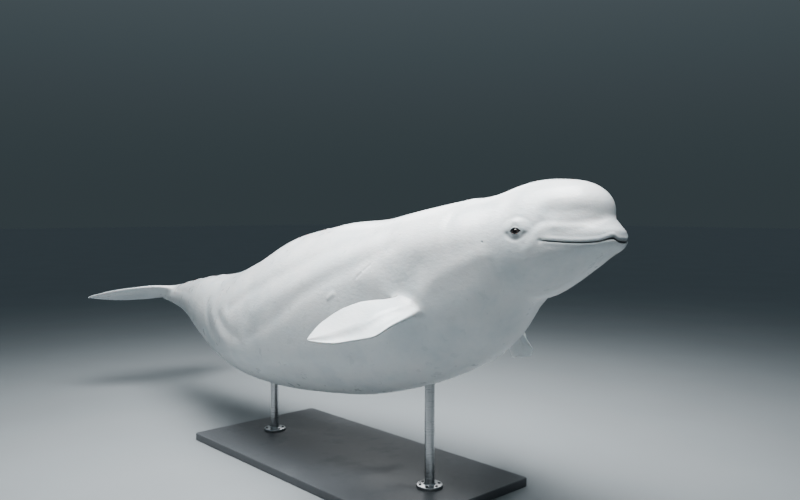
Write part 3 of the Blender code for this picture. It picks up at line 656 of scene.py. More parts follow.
def trunk_grid(body):
    """Rings of the trunk and tail, with half as many points round as the head."""
    count = int(round((TAIL_END - HEAD_END) / body.body_step))
    u = np.linspace(HEAD_END, TAIL_END, count + 1)[1:]
    phi = np.tile(np.linspace(-pi / 2, 1.5 * pi, body.columns // 2, endpoint=False), (len(u), 1))
    start, ray = rays_of_rings(u, np.full(len(u), pi / 2), phi)
    return first_hits(start, ray, HEAD_REACH)


def bridge(near, far, count):
    """Quads between two rings of points, whose first points are numbered near and far."""
    return [(near + j, near + (j + 1) % count, far + (j + 1) % count, far + j) for j in range(count)]


def tube_faces(first, rings, count):
    """Quads between rings of points that follow one another."""
    return [q for i in range(rings - 1) for q in bridge(first + i * count, first + (i + 1) * count, count)]


def straight_body(body):
    """The whale's body without fins, as one closed mesh on the straight axis."""
    head = head_grid(body)
    trunk = trunk_grid(body)
    rings, across = head.shape[:2]
    rows, wide = trunk.shape[:2]
    tip_start, tip_ray = rays_of_rings(np.array([HEAD_CENTRE_U]), np.array([0.0]), np.zeros((1, 1)))
    tip = first_hits(tip_start, tip_ray, HEAD_REACH)[0, 0]
    points = [head.reshape(-1, 3), trunk.reshape(-1, 3), tip[None]]
    trunk_from = rings * across
    tip_at = trunk_from + rows * wide
    faces = [(tip_at, (j + 1) % across, j) for j in range(across)]
    faces += tube_faces(0, rings, across)
    last = (rings - 1) * across
    for j in range(wide):
        a = last + 2 * j
        b = last + 2 * j + 1
        c = last + (2 * j + 2) % across
        near = trunk_from + j
        far = trunk_from + (j + 1) % wide
        faces += [(a, b, near), (b, far, near), (b, c, far)]
    faces += tube_faces(trunk_from, rows, wide)
    end = trunk_from + (rows - 1) * wide
    rim = trunk[-1]
    centre = rim.mean(0)
    new = tip_at + 1
    for shrink in TAIL_CAP_RINGS:
        ring = centre + (rim - centre) * shrink
        ring[:, 0] += TAIL_CAP * np.sqrt(1 - shrink ** 2)
        points.append(ring)
        faces += bridge(end, new, wide)
        end = new
        new += wide
    points.append((centre + np.array((TAIL_CAP, 0, 0)))[None])
    faces += [(end + j, end + (j + 1) % wide, new) for j in range(wide)]
    return np.concatenate(points), faces


def eye_frame(side):
    """A frame on the surface at an eye: back along the head, up, and outward."""
    hit = surface_point((EYE_AT[0], 0.0, EYE_AT[2]), (0.0, float(side), 0.0))
    n = outward(hit)
    back = np.array((1.0, 0.0, 0.0)) - n * n[0]
    back /= np.linalg.norm(back)
    up = np.cross(n, back)
    return hit, back, up if up[2] > 0 else -up, n


def lid_coordinates(p, frame_of_eye):
    """Distances back, up and outward from an eye."""
    hit, back, up, n = frame_of_eye
    d = p - hit
    return d @ back, d @ up, d @ n


def opening(x, y, body):
    """Under one inside the almond between the lids, growing outward."""
    a = body.lid_half_length
    b = body.lid_half_height * (1 - 0.45 * np.clip(x / a, -1, 1) ** 2)
    return np.sqrt((x / a) ** 2 + (y / b) ** 2)


def under_eye(y):
    """One below the eye, nought above it."""
    return ease((BAG_END - y) / BROW_EASE)


def refine(bm, centre, radius):
    """Splits the faces within a radius of a point and lays the new points on the surface."""
    bm.verts.ensure_lookup_table()
    near = [v for v in bm.verts if (v.co - Vector(centre)).length < radius]
    chosen = set(near)
    edges = [e for v in near for e in v.link_edges if e.other_vert(v) in chosen]
    edges = list(dict.fromkeys(edges))
    made = bmesh.ops.subdivide_edges(bm, edges=edges, cuts=1, use_grid_fill=True)
    new = [g for g in made["geom_split"] if isinstance(g, bmesh.types.BMVert)]
    new = list(dict.fromkeys(new))
    for v, p in zip(new, onto_surface(np.array([v.co[:] for v in new]))):
        v.co = p


def gather_lids(bm, side, body):
    """Draws the points round an eye onto rings that follow the almond of the lids."""
    frame_of_eye = eye_frame(side)
    hit, back, up = frame_of_eye[:3]
    near = [v for v in bm.verts if (v.co - Vector(hit)).length < LID_REACH]
    p = np.array([v.co[:] for v in near])
    x, y = lid_coordinates(p, frame_of_eye)[:2]
    e = np.maximum(opening(x, y, body), 1e-6)
    hold = between(e, *LID_RINGS)
    new = e - hold * GATHERING * RING_STEP / (2 * pi) * np.sin(2 * pi * (e - LID_EDGE) / RING_STEP)
    shift = (new / e - 1)[:, None] * (x[:, None] * back + y[:, None] * up)
    for v, q in zip(near, onto_surface(p + shift)):
        v.co = q


def at_front(u):
    """One at the front of the mouth, fading out along its sides."""
    return ease((FRONT_END - u) / FRONT_EASE)


def to_corner(u, past, fade):
    """One along the mouth, fading out a little past its corner."""
    return ease((MOUTH_CORNER + past - u) / fade)


def mouth_relief(p, body):
    """Lips and the line between them."""
    u = p[:, 0]
    off = p[:, 2] - mouth_height(u)
    near = np.abs(off) < 0.06
    lips = body.lip * to_corner(u, *LIP_FADE) * near
    front = at_front(u)
    more = 1 + 0.5 * front
    seam = -body.mouth_depth * more * bump(off, SEAM_WIDTH * more) * to_corner(u, *SEAM_FADE) * near
    upper = swelling(off - FRONT_RISE * front, lips, *UPPER_LIP)
    lower = swelling(off, lips, *LOWER_LIP) * (LOWER_SHARES[0] + LOWER_SHARES[1] * front)
    under = swelling(off, lips, *UNDER_LIP) * UNDER_SHARE
    depth, width, past = CORNER_PIT
    pit = -depth * bump(np.hypot(u - MOUTH_CORNER - past, off), width) * near
    return seam + upper + lower + under + pit


def blowhole_distance(p):
    """Distance from the crescent slit on top of the head."""
    centre = BLOWHOLE_U - 0.5 * BLOWHOLE_RADIUS
    turn = np.arctan2(p[:, 1], p[:, 0] - centre)
    turn = np.clip(turn, -BLOWHOLE_HALF_TURN, BLOWHOLE_HALF_TURN)
    near = np.stack([centre + BLOWHOLE_RADIUS * np.cos(turn), BLOWHOLE_RADIUS * np.sin(turn)], 1)
    return np.linalg.norm(p[:, :2] - near, axis=1) + 9 * (p[:, 2] < 0)


def blowhole_relief(p):
    d = blowhole_distance(p)
    return swelling(d, *SLIT) + swelling(d, *RIM)


def ear_distance(p):
    """Distance from the nearer ear."""
    on_left = np.stack([p[:, 0], np.abs(p[:, 1]), p[:, 2]], 1)
    return np.linalg.norm(on_left - np.array(EAR_AT), axis=1)


def side_distance(p, line):
    """Distance, seen from the side, from a run of points."""
    q = p[:, [0, 2]]
    best = np.full(len(p), 9.0)
    for a, b in zip(np.array(line), np.array(line)[1:]):
        t = np.clip((q - a) @ (b - a) / ((b - a) ** 2).sum(), 0, 1)
        best = np.minimum(best, np.linalg.norm(q - a - t[:, None] * (b - a), axis=1))
    return best


def line_relief(p, lines):
    """Relief along lines seen from the side."""
    return sum(high * bump(side_distance(p, line), wide) for high, wide, line in lines)


def notched(u, waves):
    """What a ridge's height is multiplied by along it."""
    return 1 + sum(share * np.sin(u * turns + start) for share, turns, start in waves)


def fold_relief(p):
    """Neck creases, rolls of blubber, the low ridge on the back, the belly's slits and the scars."""
    u = p[:, 0]
    side = p[:, 1]
    z = p[:, 2]
    slanted = u - NECK_SLANT * np.abs(side)
    neck = sum(swelling(slanted, *fold) for fold in NECK_FOLDS) * ease((z - NECK_FROM) / NECK_EASE)
    high, wide, stretch, notches = BACK_RIDGE
    ridge = high * bump(side, wide) * between(u, *stretch) * notched(u, notches) * (z > 0)
    high, wide, stretch, notches = TAIL_KEEL
    keel = high * bump(side, wide) * between(u, *stretch) * notched(u, notches)
    deep, wide = BELLY_SLIT
    slits = -deep * bump(side, wide) * sum(between(u, *stretch) for stretch in BELLY_SLITS)
    at, deep, wide = NAVEL
    belly = slits - deep * bump(np.hypot(u - at, side), wide)
    scars = line_relief(p, MARKS) * (side < 0)
    return neck + line_relief(p, FOLDS) + ridge + keel + belly * (z < 0) + scars


def lid_relief(p, side, body):
    """Lids, the skin that dips behind the eyeball, and the folds round the eye."""
    frame_of_eye = eye_frame(side)
    x, y, h = lid_coordinates(p, frame_of_eye)
    near = (np.hypot(x, y) < EYE_RELIEF_END) & (p[:, 1] * side > 0)
    x, y, h = x[near], y[near], h[near]
    away = np.hypot(x, y)
    e = opening(x, y, body)
    r = body.eye_radius
    ball = -EYE_SINK + np.sqrt(np.maximum(r ** 2 - away ** 2, 0)) - 3 * np.maximum(away - 0.9 * r, 0)
    over = ball + LID_THICKNESS
    high, at, wide = BROW
    brow = np.hypot(x / BROW_STRETCH, y)
    crest = high * bump(brow - at, np.where(brow < at, BROW_INNER_WIDTH, wide))
    crest *= ease((y - BROW_FROM) / BROW_EASE) * bump(x - BROW_SPAN[0], BROW_SPAN[1])
    crest -= swelling(brow, *BROW_CREASE) * ease(y / 0.02)
    groove = swelling(np.hypot(x / BAG_STRETCH, y), *EYE_BAG) * under_eye(y)
    skin = h + crest - groove
    high, wide = LID_ROUNDING
    lid = np.maximum(skin, over) + high * bump(skin - over, wide)
    inside = ease((LID_EDGE - e) / 0.10)
    height = lid * (1 - inside) + (ball - BEHIND_BALL) * inside
    fade = ease((EYE_RELIEF_END - away) / EYE_RELIEF_FADE)
    p[near] += ((height - h) * fade)[:, None] * frame_of_eye[3]
    return p


def with_relief(p, body):
    """Points of the plain surface, raised and cut by every feature."""
    relief = mouth_relief(p, body) + blowhole_relief(p) + fold_relief(p)
    relief += swelling(ear_distance(p), *EAR_HOLE)
    fade = ease((RELIEF_END - p[:, 0]) / RELIEF_FADE)
    p = p + outward(p) * (relief * fade)[:, None]
    for side in LEFT_RIGHT:
        p = lid_relief(p, side, body)
    return p


def fin_surface(lead, trail, thickness, curl, stations, count):
    """Points and faces of a blade between two edges."""
    lead = np.array(lead)
    trail = np.array(trail)
    index = np.arange(len(lead))
    middle = (lead + trail) / 2
    half = (trail - lead) / 2
    half[-1] = 0.4 * half[-2]
    last = len(lead) - 1.0
    s = last * np.sin(np.linspace(0, pi / 2, stations + 1))[:-1]
    centre = np.stack([smooth_curve(index, middle[:, k])(s) for k in range(3)], 1)
    reach = np.stack([smooth_curve(index, half[:, k])(s) for k in range(3)], 1)
    taper = (1 - np.clip(s - (last - 1), 0, 1) ** 2) ** TIP_POWER
    reach *= taper[:, None]
    normal = np.cross(np.gradient(centre, axis=0), reach)
    normal /= np.linalg.norm(normal, axis=1)[:, None]
    if normal[0, 2] < 0:
        normal = -normal
    c = (1 - np.cos(np.linspace(0, pi, count))) / 2
    dip = curl * np.sin(np.clip(c / CURL_SHARE, 0, 1) * pi)
    blade = centre[:, None] + reach[:, None] * (2 * c - 1)[None, :, None]
    blade = blade - normal[:, None] * (dip[None] * (taper * np.minimum(1.0, s / 3))[:, None])[..., None]
    thick = smooth_curve(index, thickness)(s)[:, None] * foil(c)[None]
    upper = blade + normal[:, None] * thick[..., None]
    lower = blade - normal[:, None] * thick[..., None]
    rows = len(s)
    loop = 2 * count - 2
    rings = np.concatenate([upper, lower[:, -2:0:-1]], 1)
    points = np.concatenate([rings.reshape(-1, 3), middle[-1][None], centre[0][None]])
    faces = tube_faces(0, rows, loop)
    tip = rows * loop
    end = (rows - 1) * loop
    for j in range(loop):
        k = (j + 1) % loop
        faces.append((end + j, end + k, tip))
        faces.append((k, j, tip + 1))
    return points, faces


def foil(c):
    """Half thickness across a fin, from its front edge at nought to its rear edge at one."""
    shape = 5 * (0.2969 * np.sqrt(c) - 0.1260 * c - 0.3516 * c ** 2 + 0.2843 * c ** 3 - 0.1036 * c ** 4)
    shape = np.maximum(shape, 0.05 * np.sqrt(np.maximum(0, 1 - ((c - 0.5) / 0.5) ** 2)))
    shape[[0, -1]] = 0
    return shape


def mirrored(edge):
    return [(u, -y, z) for u, y, z in edge]


def link_object(name, mesh):
    obj = bpy.data.objects.new(name, mesh)
    bpy.context.scene.collection.objects.link(obj)
    return obj


def mesh_object(name, points, faces):
    mesh = bpy.data.meshes.new(name)
    mesh.from_pydata([tuple(p) for p in points], [], faces)
    bm = bmesh.new()
    bm.from_mesh(mesh)
    bmesh.ops.recalc_face_normals(bm, faces=bm.faces)
    bm.to_mesh(mesh)
    bm.free()
    return link_object(name, mesh)


def apply_modifiers(obj):
    """Turns an object with its modifiers into a plain mesh."""
    graph = bpy.context.evaluated_depsgraph_get()
    mesh = bpy.data.meshes.new_from_object(obj.evaluated_get(graph))
    obj.modifiers.clear()
    old = obj.data
    obj.data = mesh
    bpy.data.meshes.remove(old)


def join_solid(obj, other):
    modifier = obj.modifiers.new("join", "BOOLEAN")
    modifier.operation = "UNION"
    modifier.solver = "MANIFOLD"
    modifier.object = other
    apply_modifiers(obj)
    bpy.data.objects.remove(other, do_unlink=True)


def triples(items, key):
    """Three numbers for each item of a mesh."""
    values = np.empty(len(items) * 3)
    items.foreach_get(key, values)
    return values.reshape(-1, 3)


def edge_pairs(mesh):
    pairs = np.empty(len(mesh.edges) * 2, int)
    mesh.edges.foreach_get("vertices", pairs)
    return pairs.reshape(-1, 2)


def spread(values, pairs):
    """The mean of each point's neighbours."""
    total = np.zeros_like(values)
    number = np.zeros(len(values))
    for a, b in ((0, 1), (1, 0)):
        np.add.at(total, pairs[:, a], values[pairs[:, b]])
        np.add.at(number, pairs[:, a], 1)
    return total / number.reshape(-1, *([1] * (values.ndim - 1)))


def seam_points(mesh):
    """Points where a fin's faces meet the body's, from the material index that the join keeps."""
    of_fin = np.zeros(len(mesh.vertices), bool)
    of_body = np.zeros(len(mesh.vertices), bool)
    for face in mesh.polygons:
        (of_fin if face.material_index == 1 else of_body)[list(face.vertices)] = True
    return of_fin & of_body


def fill_roots(mesh, fins):
    """Fills the corner where each fin meets the body, as a soft join of the two surfaces would."""
    co = triples(mesh.vertices, "co")
    normals = triples(mesh.vertex_normals, "vector")
    for tree, width in fins:
        rows = np.flatnonzero(np.abs(whale_shape(co)) < FILL_REACH * width)
        off = np.array([tree.find_nearest(Vector(q))[3] for q in co[rows]])
        rows = rows[off < FILL_REACH * width]
        p = co[rows]
        level = None
        for _ in range(FILL_ROUNDS):
            found = [tree.find_nearest(Vector(q)) for q in p]
            fin = np.array([hit[3] for hit in found])
            away = p - np.array([hit[0][:] for hit in found])
            away = np.where((fin > 3e-4)[:, None], away / np.maximum(fin, 1e-9)[:, None], normals[rows])
            body = whale_shape(p)
            share = np.maximum(0, 1 - np.abs(body - fin) / width) * ease((FILL_END - p[:, 0]) / FILL_FADE)
            soft = np.minimum(body, fin) - share ** 2 * width / 4
            if level is None:
                level = np.minimum(body, fin)
            to_body = np.where(body < fin, 1 - share / 2, share / 2)[:, None]
            way = to_body * outward(p) + (1 - to_body) * away
            length = np.maximum(np.linalg.norm(way, axis=1), 0.3)[:, None]
            p = p + 0.8 * way / length ** 2 * (level - soft)[:, None]
        co[rows] = p
    mesh.vertices.foreach_set("co", co.ravel())


def soften_seams(mesh):
    """Evens the skin in a narrow band round the fins' roots."""
    co = triples(mesh.vertices, "co")
    pairs = edge_pairs(mesh)
    weight = seam_points(mesh).astype(float)
    for _ in range(BAND_ROUNDS):
        near = spread(weight, pairs)
        weight = np.maximum(weight, 0.82 * near + 0.08 * (near > 0))
    weight = np.clip(weight, 0, 1)
    for _ in range(EVEN_ROUNDS):
        co += (spread(co, pairs) - co) * (0.5 * weight)[:, None]
    mesh.vertices.foreach_set("co", co.ravel())


def refine_features(bm, body):
    """Makes the skin finer at the eyes, ears, blowhole, scars and flipper roots."""
    for side in LEFT_RIGHT:
        eye = eye_frame(side)[0]
        for radius in EYE_FINE:
            refine(bm, eye, radius)
        gather_lids(bm, side, body)
        for radius in EAR_FINE:
            refine(bm, (EAR_AT[0], side * EAR_AT[1], EAR_AT[2]), radius)
    top = surface_point((BLOWHOLE_U, 0.0, 0.0), (0.0, 0.0, 1.0))
    places = [(top, BLOWHOLE_FINE)]
    places += [(mark, MARK_FINE) for mark in MARKS_AT]
    places += [(root, ROOT_FINE) for root in FLIPPER_ROOTS]
    for place, radii in places:
        for radius in radii:
            refine(bm, place, radius)


def blades(body):
    """Each fin's edges, thickness, curl and numbers of points, and the width of its soft join."""
    flipper = (FLIPPER_THICKNESS, body.flipper_curl, *FLIPPER_POINTS)
    fluke = (FLUKE_THICKNESS, 0.0, *FLUKE_POINTS)
    return (
        (FLIPPER_RIGHT_LEAD, FLIPPER_RIGHT_TRAIL, flipper, body.flipper_fillet),
        (FLIPPER_LEFT_LEAD, FLIPPER_LEFT_TRAIL, flipper, body.flipper_fillet),
        (FLUKE_LEAD, FLUKE_TRAIL, fluke, body.fluke_fillet),
        (mirrored(FLUKE_LEAD), mirrored(FLUKE_TRAIL), fluke, body.fluke_fillet),
    )


def join_fins(skin, body):
    """Joins the fins to the body and gives the surface and the soft join's width of each."""
    for name in ("of_body", "of_fin"):
        skin.data.materials.append(bpy.data.materials.new(name))
    fins = []
    for lead, trail, form, width in blades(body):
        points, faces = fin_surface(lead, trail, *form)
        fins.append((BVHTree.FromPolygons([tuple(q) for q in points], faces), width))
        blade = mesh_object("blade", points, faces)
        for mark in skin.data.materials:
            blade.data.materials.append(mark)
        blade.data.polygons.foreach_set("material_index", [1] * len(blade.data.polygons))
        join_solid(skin, blade)
    return fins


def skin_object(body):
    """The whole skin on the straight axis: body, features and fins in one closed surface."""
    skin = mesh_object("whale_skin", *straight_body(body))
    bm = bmesh.new()
    bm.from_mesh(skin.data)
    refine_features(bm, body)
    bmesh.ops.triangulate(bm, faces=bm.faces)
    bm.to_mesh(skin.data)
    bm.free()
    plain = triples(skin.data.vertices, "co")
    skin.data.vertices.foreach_set("co", with_relief(plain, body).ravel())
    fins = join_fins(skin, body)
    keep_largest_surface(skin)
    fill_roots(skin.data, fins)
    soften_seams(skin.data)
    return skin


def keep_largest_surface(obj):
    bm = bmesh.new()
    bm.from_mesh(obj.data)
    left = set(bm.verts)
    best = []
    while left:
        stack = [left.pop()]
        island = []
        while stack:
            v = stack.pop()
            island.append(v)
            for edge in v.link_edges:
                near = edge.other_vert(v)
                if near in left:
                    left.discard(near)
                    stack.append(near)
        if len(island) > len(best):
            best = island
    bmesh.ops.delete(bm, geom=list(set(bm.verts) - set(best)), context="VERTS")
    bm.to_mesh(obj.data)
    bm.free()


def paint_attribute(mesh, name, values):
    layer = mesh.attributes.new(name, "FLOAT", "POINT")
    layer.data.foreach_set("value", np.asarray(values, float))


def mouth_line_tone_and_shade(p):
    """How dark the line of the mouth makes each point, measured on the plain surface: darker lip skin with
    painted shade in the gap between the lips, and painted shade under the upper lip's front.
    """
    plain = p.copy()
    face = p[:, 0] < FACE_END
    plain[face] = onto_surface(p[face])
    u = plain[:, 0]
    off = plain[:, 2] - mouth_height(u)
    end, fade = BEAK_PAINTED_SHADE_END
    beak_painted_shade = swelling(off, *BEAK_PAINTED_SHADE) * ease((end - u) / fade)
    mark = np.minimum(bump(off, LINE_WIDTH + LINE_FRONT * at_front(u)) + beak_painted_shade, 1)
    return mark * to_corner(u, *LINE_FADE) * (np.abs(off) < 0.05)


def skin_marks(p, body):
    """How dark each point is, from darker lips, the lids' dark rims and the halo round the eye, and from
    painted shade in the lips' seam, under the upper lip, in the blowhole, the ear and under the eye; and how
    far it belongs to the fins.
    """
    # Painted shade in the blowhole's slit and in the ear's pinhole
    blowhole_painted_shade = swelling(blowhole_distance(p), *BLOWHOLE_PAINTED_SHADE)
    ear = swelling(ear_distance(p), *EAR_PAINTED_SHADE)
    dark = np.maximum(np.maximum(mouth_line_tone_and_shade(p), blowhole_painted_shade), ear)
    for side in LEFT_RIGHT:
        x, y = lid_coordinates(p, eye_frame(side))[:2]
        near = (np.hypot(x, y) < EYE_RELIEF_END) & (p[:, 1] * side > 0)
        e = opening(x, y, body)
        rim = ease((LID_RIM[0] - e) / LID_RIM[1])
        halo = HALO_SHARE * ease((HALO[0] - e) / HALO[1])
        # Painted shade in the groove under the eye
        shade = swelling(np.hypot(x / BAG_STRETCH, y), *BAG_PAINTED_SHADE) * under_eye(y)
        dark = np.where(near, np.maximum(dark, np.maximum(rim, halo + shade)), dark)
    fins = ease((whale_shape(p) - FIN_COLOUR[0]) / FIN_COLOUR[1])
    return dark, fins


def node(tree, kind, **values):
    made = tree.nodes.new(kind)
    for key, value in values.items():
        setattr(made, key, value)
    return made


def object_place(tree):
    return node(tree, "ShaderNodeTexCoord").outputs["Object"]


def painted(tree, name):
    """A value painted on the mesh's points."""
    return node(tree, "ShaderNodeAttribute", attribute_name=name).outputs["Fac"]


def noise(tree, where, scale, detail=4.0, rough=0.55):
    made = node(tree, "ShaderNodeTexNoise")
    made.inputs["Scale"].default_value = scale
    made.inputs["Detail"].default_value = detail
    made.inputs["Roughness"].default_value = rough
    tree.links.new(where, made.inputs["Vector"])
    return made.outputs["Fac"]


def ramp(tree, value, low, high, low_out=0.0, high_out=1.0):
    made = node(tree, "ShaderNodeMapRange", interpolation_type="SMOOTHSTEP")
    for key, number in (("From Min", low), ("From Max", high), ("To Min", low_out), ("To Max", high_out)):
        made.inputs[key].default_value = number
    tree.links.new(value, made.inputs["Value"])
    return made.outputs["Result"]


def feed(tree, socket, value):
    """Links a socket to another one, or sets its number or colour."""
    if isinstance(value, bpy.types.NodeSocket):
        tree.links.new(value, socket)
    else:
        socket.default_value = value if socket.type != "RGBA" else (*value, 1.0)


def mix(tree, factor, first, second):
    """A mix of two colours; each is a socket or three numbers."""
    made = node(tree, "ShaderNodeMix", data_type="RGBA")
    tree.links.new(factor, made.inputs["Factor"])
    for key, colour in (("A", first), ("B", second)):
        feed(tree, next(s for s in made.inputs if s.name == key and s.type == "RGBA"), colour)
    return next(s for s in made.outputs if s.type == "RGBA")


def arithmetic(tree, operation, *values):
    made = node(tree, "ShaderNodeMath", operation=operation)
    for socket, value in zip(made.inputs, values):
        feed(tree, socket, value)
    return made.outputs["Value"]


def stretched(tree, where, scale, turn=(0.0, 0.0, 0.0)):
    made = node(tree, "ShaderNodeMapping")
    made.inputs["Scale"].default_value = scale
    made.inputs["Rotation"].default_value = turn
    tree.links.new(where, made.inputs["Vector"])
    return made.outputs["Vector"]


def add_bump(tree, shader, height, strength, distance):
    made = node(tree, "ShaderNodeBump")
    made.inputs["Strength"].default_value = strength
    made.inputs["Distance"].default_value = distance
    tree.links.new(height, made.inputs["Height"])
    tree.links.new(made.outputs["Normal"], shader.inputs["Normal"])


def times(colour, share):
    return tuple(share * c for c in colour)


def new_material(name, **sockets):
    """A material, its node tree and its shader, with the shader's sockets set by name."""
    made = bpy.data.materials.new(name)
    made.use_nodes = True
    shader = made.node_tree.nodes["Principled BSDF"]
    for key, value in sockets.items():
        shader.inputs[key.replace("_", " ")].default_value = value
    return made, made.node_tree, shader


def skin_material(colours):
    """Wet white skin with soft blue-grey clouds, fine scratches, darker lips and lids, and painted shade in
    the seams and hollows.
    """
    made, tree, shader = new_material(
        "wet_white_skin", Roughness=0.34, Coat_Weight=0.35, Coat_Roughness=0.16, Specular_IOR_Level=0.45,
        Subsurface_Weight=0.12, Subsurface_Radius=(0.020, 0.014, 0.012), Subsurface_Scale=0.6,
    )
    where = object_place(tree)
    clouds = ramp(tree, noise(tree, where, 2.3, detail=5.0, rough=0.62), 0.38, 0.66, high_out=0.45)
    patches = ramp(tree, noise(tree, where, 9.0, detail=4.0, rough=0.60), 0.46, 0.72, high_out=0.24)
    specks = ramp(tree, noise(tree, where, 70.0, detail=3.0, rough=0.70), 0.56, 0.76, high_out=0.12)
    tone = arithmetic(tree, "MAXIMUM", clouds, patches)
    tone = arithmetic(tree, "MAXIMUM", tone, specks)
    tone = arithmetic(tree, "ADD", tone, arithmetic(tree, "MULTIPLY", painted(tree, "fins"), 0.20))
    colour = mix(tree, tone, colours.white, colours.grey)
    scratched = stretched(tree, where, (6.0, 60.0, 22.0), turn=(0.3, 0.2, 0.5))
    rake = ramp(tree, noise(tree, scratched, 3.0, detail=2.0, rough=0.5), 0.67, 0.76, high_out=0.18)
    colour = mix(tree, rake, colour, times(colours.grey, 0.75))
    # The dark marks: darker lips, the lids' dark rims and halo, and painted shade in the lips' seam, under
    # the upper lip, in the blowhole, the ear and under the eye
    colour = mix(tree, painted(tree, "dark"), colour, colours.dark_skin_and_shade)
    tree.links.new(colour, shader.inputs["Base Color"])
    grain = arithmetic(tree, "MULTIPLY", noise(tree, where, 260.0, detail=3.0, rough=0.60), 0.10)
    ripple = noise(tree, stretched(tree, where, (14.0, 26.0, 26.0)), 3.0)
    height = arithmetic(tree, "ADD", grain, arithmetic(tree, "MULTIPLY", ripple, 0.90))
    height = arithmetic(tree, "SUBTRACT", height, arithmetic(tree, "MULTIPLY", rake, 0.25))
    add_bump(tree, shader, height, strength=0.35, distance=0.004)
    gloss = ramp(tree, noise(tree, where, 16.0, rough=0.60), 0.30, 0.70, low_out=0.26, high_out=0.46)
    tree.links.new(gloss, shader.inputs["Roughness"])
    return made


def eye_material(colours):
    """Almost black eye: a faint brown iris round a wide pupil, wet all over."""
    made, tree, shader = new_material("wet_dark_eye", Roughness=0.10, Coat_Weight=1.0, Coat_Roughness=0.05)
    ring = painted(tree, "iris")
    streaks = ramp(tree, noise(tree, object_place(tree), 420.0, detail=3.0, rough=0.60), 0.30, 0.75)
    iris = mix(tree, streaks, times(colours.eye, 1.4), times(colours.eye, 2.6))
    colour = mix(tree, ramp(tree, ring, 0.36, 0.44), times(colours.eye, 0.35), iris)
    colour = mix(tree, ramp(tree, ring, 0.62, 0.80), colour, times(colours.eye, 1.3))
    tree.links.new(colour, shader.inputs["Base Color"])
    return made


def painted_material(colours):
    """Satin grey paint with a fine fleck and soft wear."""
    made, tree, shader = new_material("satin_grey_paint", Roughness=0.45)
    where = object_place(tree)
    fleck = ramp(tree, noise(tree, where, 900.0, detail=2.0, rough=0.5), 0.35, 0.70)
    wear = ramp(tree, noise(tree, where, 5.0, detail=5.0, rough=0.62), 0.45, 0.75, high_out=0.35)
    colour = mix(tree, fleck, times(colours.base, 0.85), times(colours.base, 1.25))
    colour = mix(tree, wear, colour, times(colours.base, 1.6))
    tree.links.new(colour, shader.inputs["Base Color"])
    gloss = ramp(tree, wear, 0.0, 0.35, low_out=0.38, high_out=0.56)
    tree.links.new(gloss, shader.inputs["Roughness"])
    add_bump(tree, shader, fleck, strength=0.25, distance=0.0004)
    return made


def steel_material(name, colours, tint=1.0):
    """Steel with fine lines round it, as turning leaves them."""
    made, tree, shader = new_material(name, Roughness=0.30, Metallic=1.0)
    turned = noise(tree, stretched(tree, object_place(tree), (4.0, 4.0, 700.0)), 1.0, detail=3.0)
    colour = mix(tree, turned, times(colours.rod, 0.90 * tint), times(colours.rod, 1.08 * tint))
    tree.links.new(colour, shader.inputs["Base Color"])
    gloss = ramp(tree, turned, 0.25, 0.75, low_out=0.26, high_out=0.36)
    tree.links.new(gloss, shader.inputs["Roughness"])
    add_bump(tree, shader, turned, strength=0.06, distance=0.0003)
    return made


def floor_material(colours):
    made, tree, shader = new_material("pale_floor", Roughness=0.75)
    cloud = ramp(tree, noise(tree, object_place(tree), 1.2, detail=3.0, rough=0.5), 0.3, 0.7)
    colour = mix(tree, cloud, times(colours.floor, 0.98), times(colours.floor, 1.02))
    tree.links.new(colour, shader.inputs["Base Color"])
    return made


def finish_piece(obj, material, nodes, sharp=None):
    obj.data.materials.clear()
    obj.data.materials.append(material)
    obj.data.shade_smooth()
    if sharp is not None:
        obj.data.set_sharp_from_angle(angle=sharp)
    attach(obj, "root")
    if nodes:
        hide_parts(*nodes)


class BELUGA_OT_skin(Operator):
    """Build the whale's whole skin, from the lips to the flukes, as one surface"""
    bl_idname = "beluga.skin"
    bl_label = "Skin"

    def execute(self, context):
        body = context.scene.beluga_body
        skin = skin_object(body)
        straight = triples(skin.data.vertices, "co")
        dark, fins = skin_marks(straight, body)
        skin.data.vertices.foreach_set("co", bend(straight).ravel())
        skin.data.polygons.foreach_set("material_index", [0] * len(skin.data.polygons))
        # The dark marks: darker lips and lids, and painted shade in the seams and hollows
        paint_attribute(skin.data, "dark", dark)
        paint_attribute(skin.data, "fins", fins)
        skin.data.update()
        finish_piece(skin, skin_material(context.scene.beluga_colours), FLESH)
        return {"FINISHED"}


class BELUGA_OT_eyes(Operator):
    """Build both wet dark eyes behind their lids"""
    bl_idname = "beluga.eyes"
    bl_label = "Eyes"

    def execute(self, context):
        radius = context.scene.beluga_body.eye_radius
        material = eye_material(context.scene.beluga_colours)
        for side, name in zip(LEFT_RIGHT, EYES):
            hit, back, up, n = eye_frame(side)
            bm = bmesh.new()
            bmesh.ops.create_uvsphere(bm, u_segments=64, v_segments=40, radius=1.0)
            ball = np.array([v.co[:] for v in bm.verts])
            faces = [[v.index for v in face.verts] for face in bm.faces]
            bm.free()
            away = np.hypot(ball[:, 0], ball[:, 1])
            flat = 0.035 * (ease((0.42 - away) / 0.30) * (ball[:, 2] > 0) - 1)
            ball = ball * (1 + flat)[:, None]
            outer = ball[:, :1] * back + ball[:, 1:2] * up + ball[:, 2:] * n
            eye = mesh_object("whale_" + name, bend(hit + radius * outer - EYE_SINK * n), faces)
            paint_attribute(eye.data, "iris", np.where(ball[:, 2] > 0, away, 1.0))
            finish_piece(eye, material, (name,))
        return {"FINISHED"}


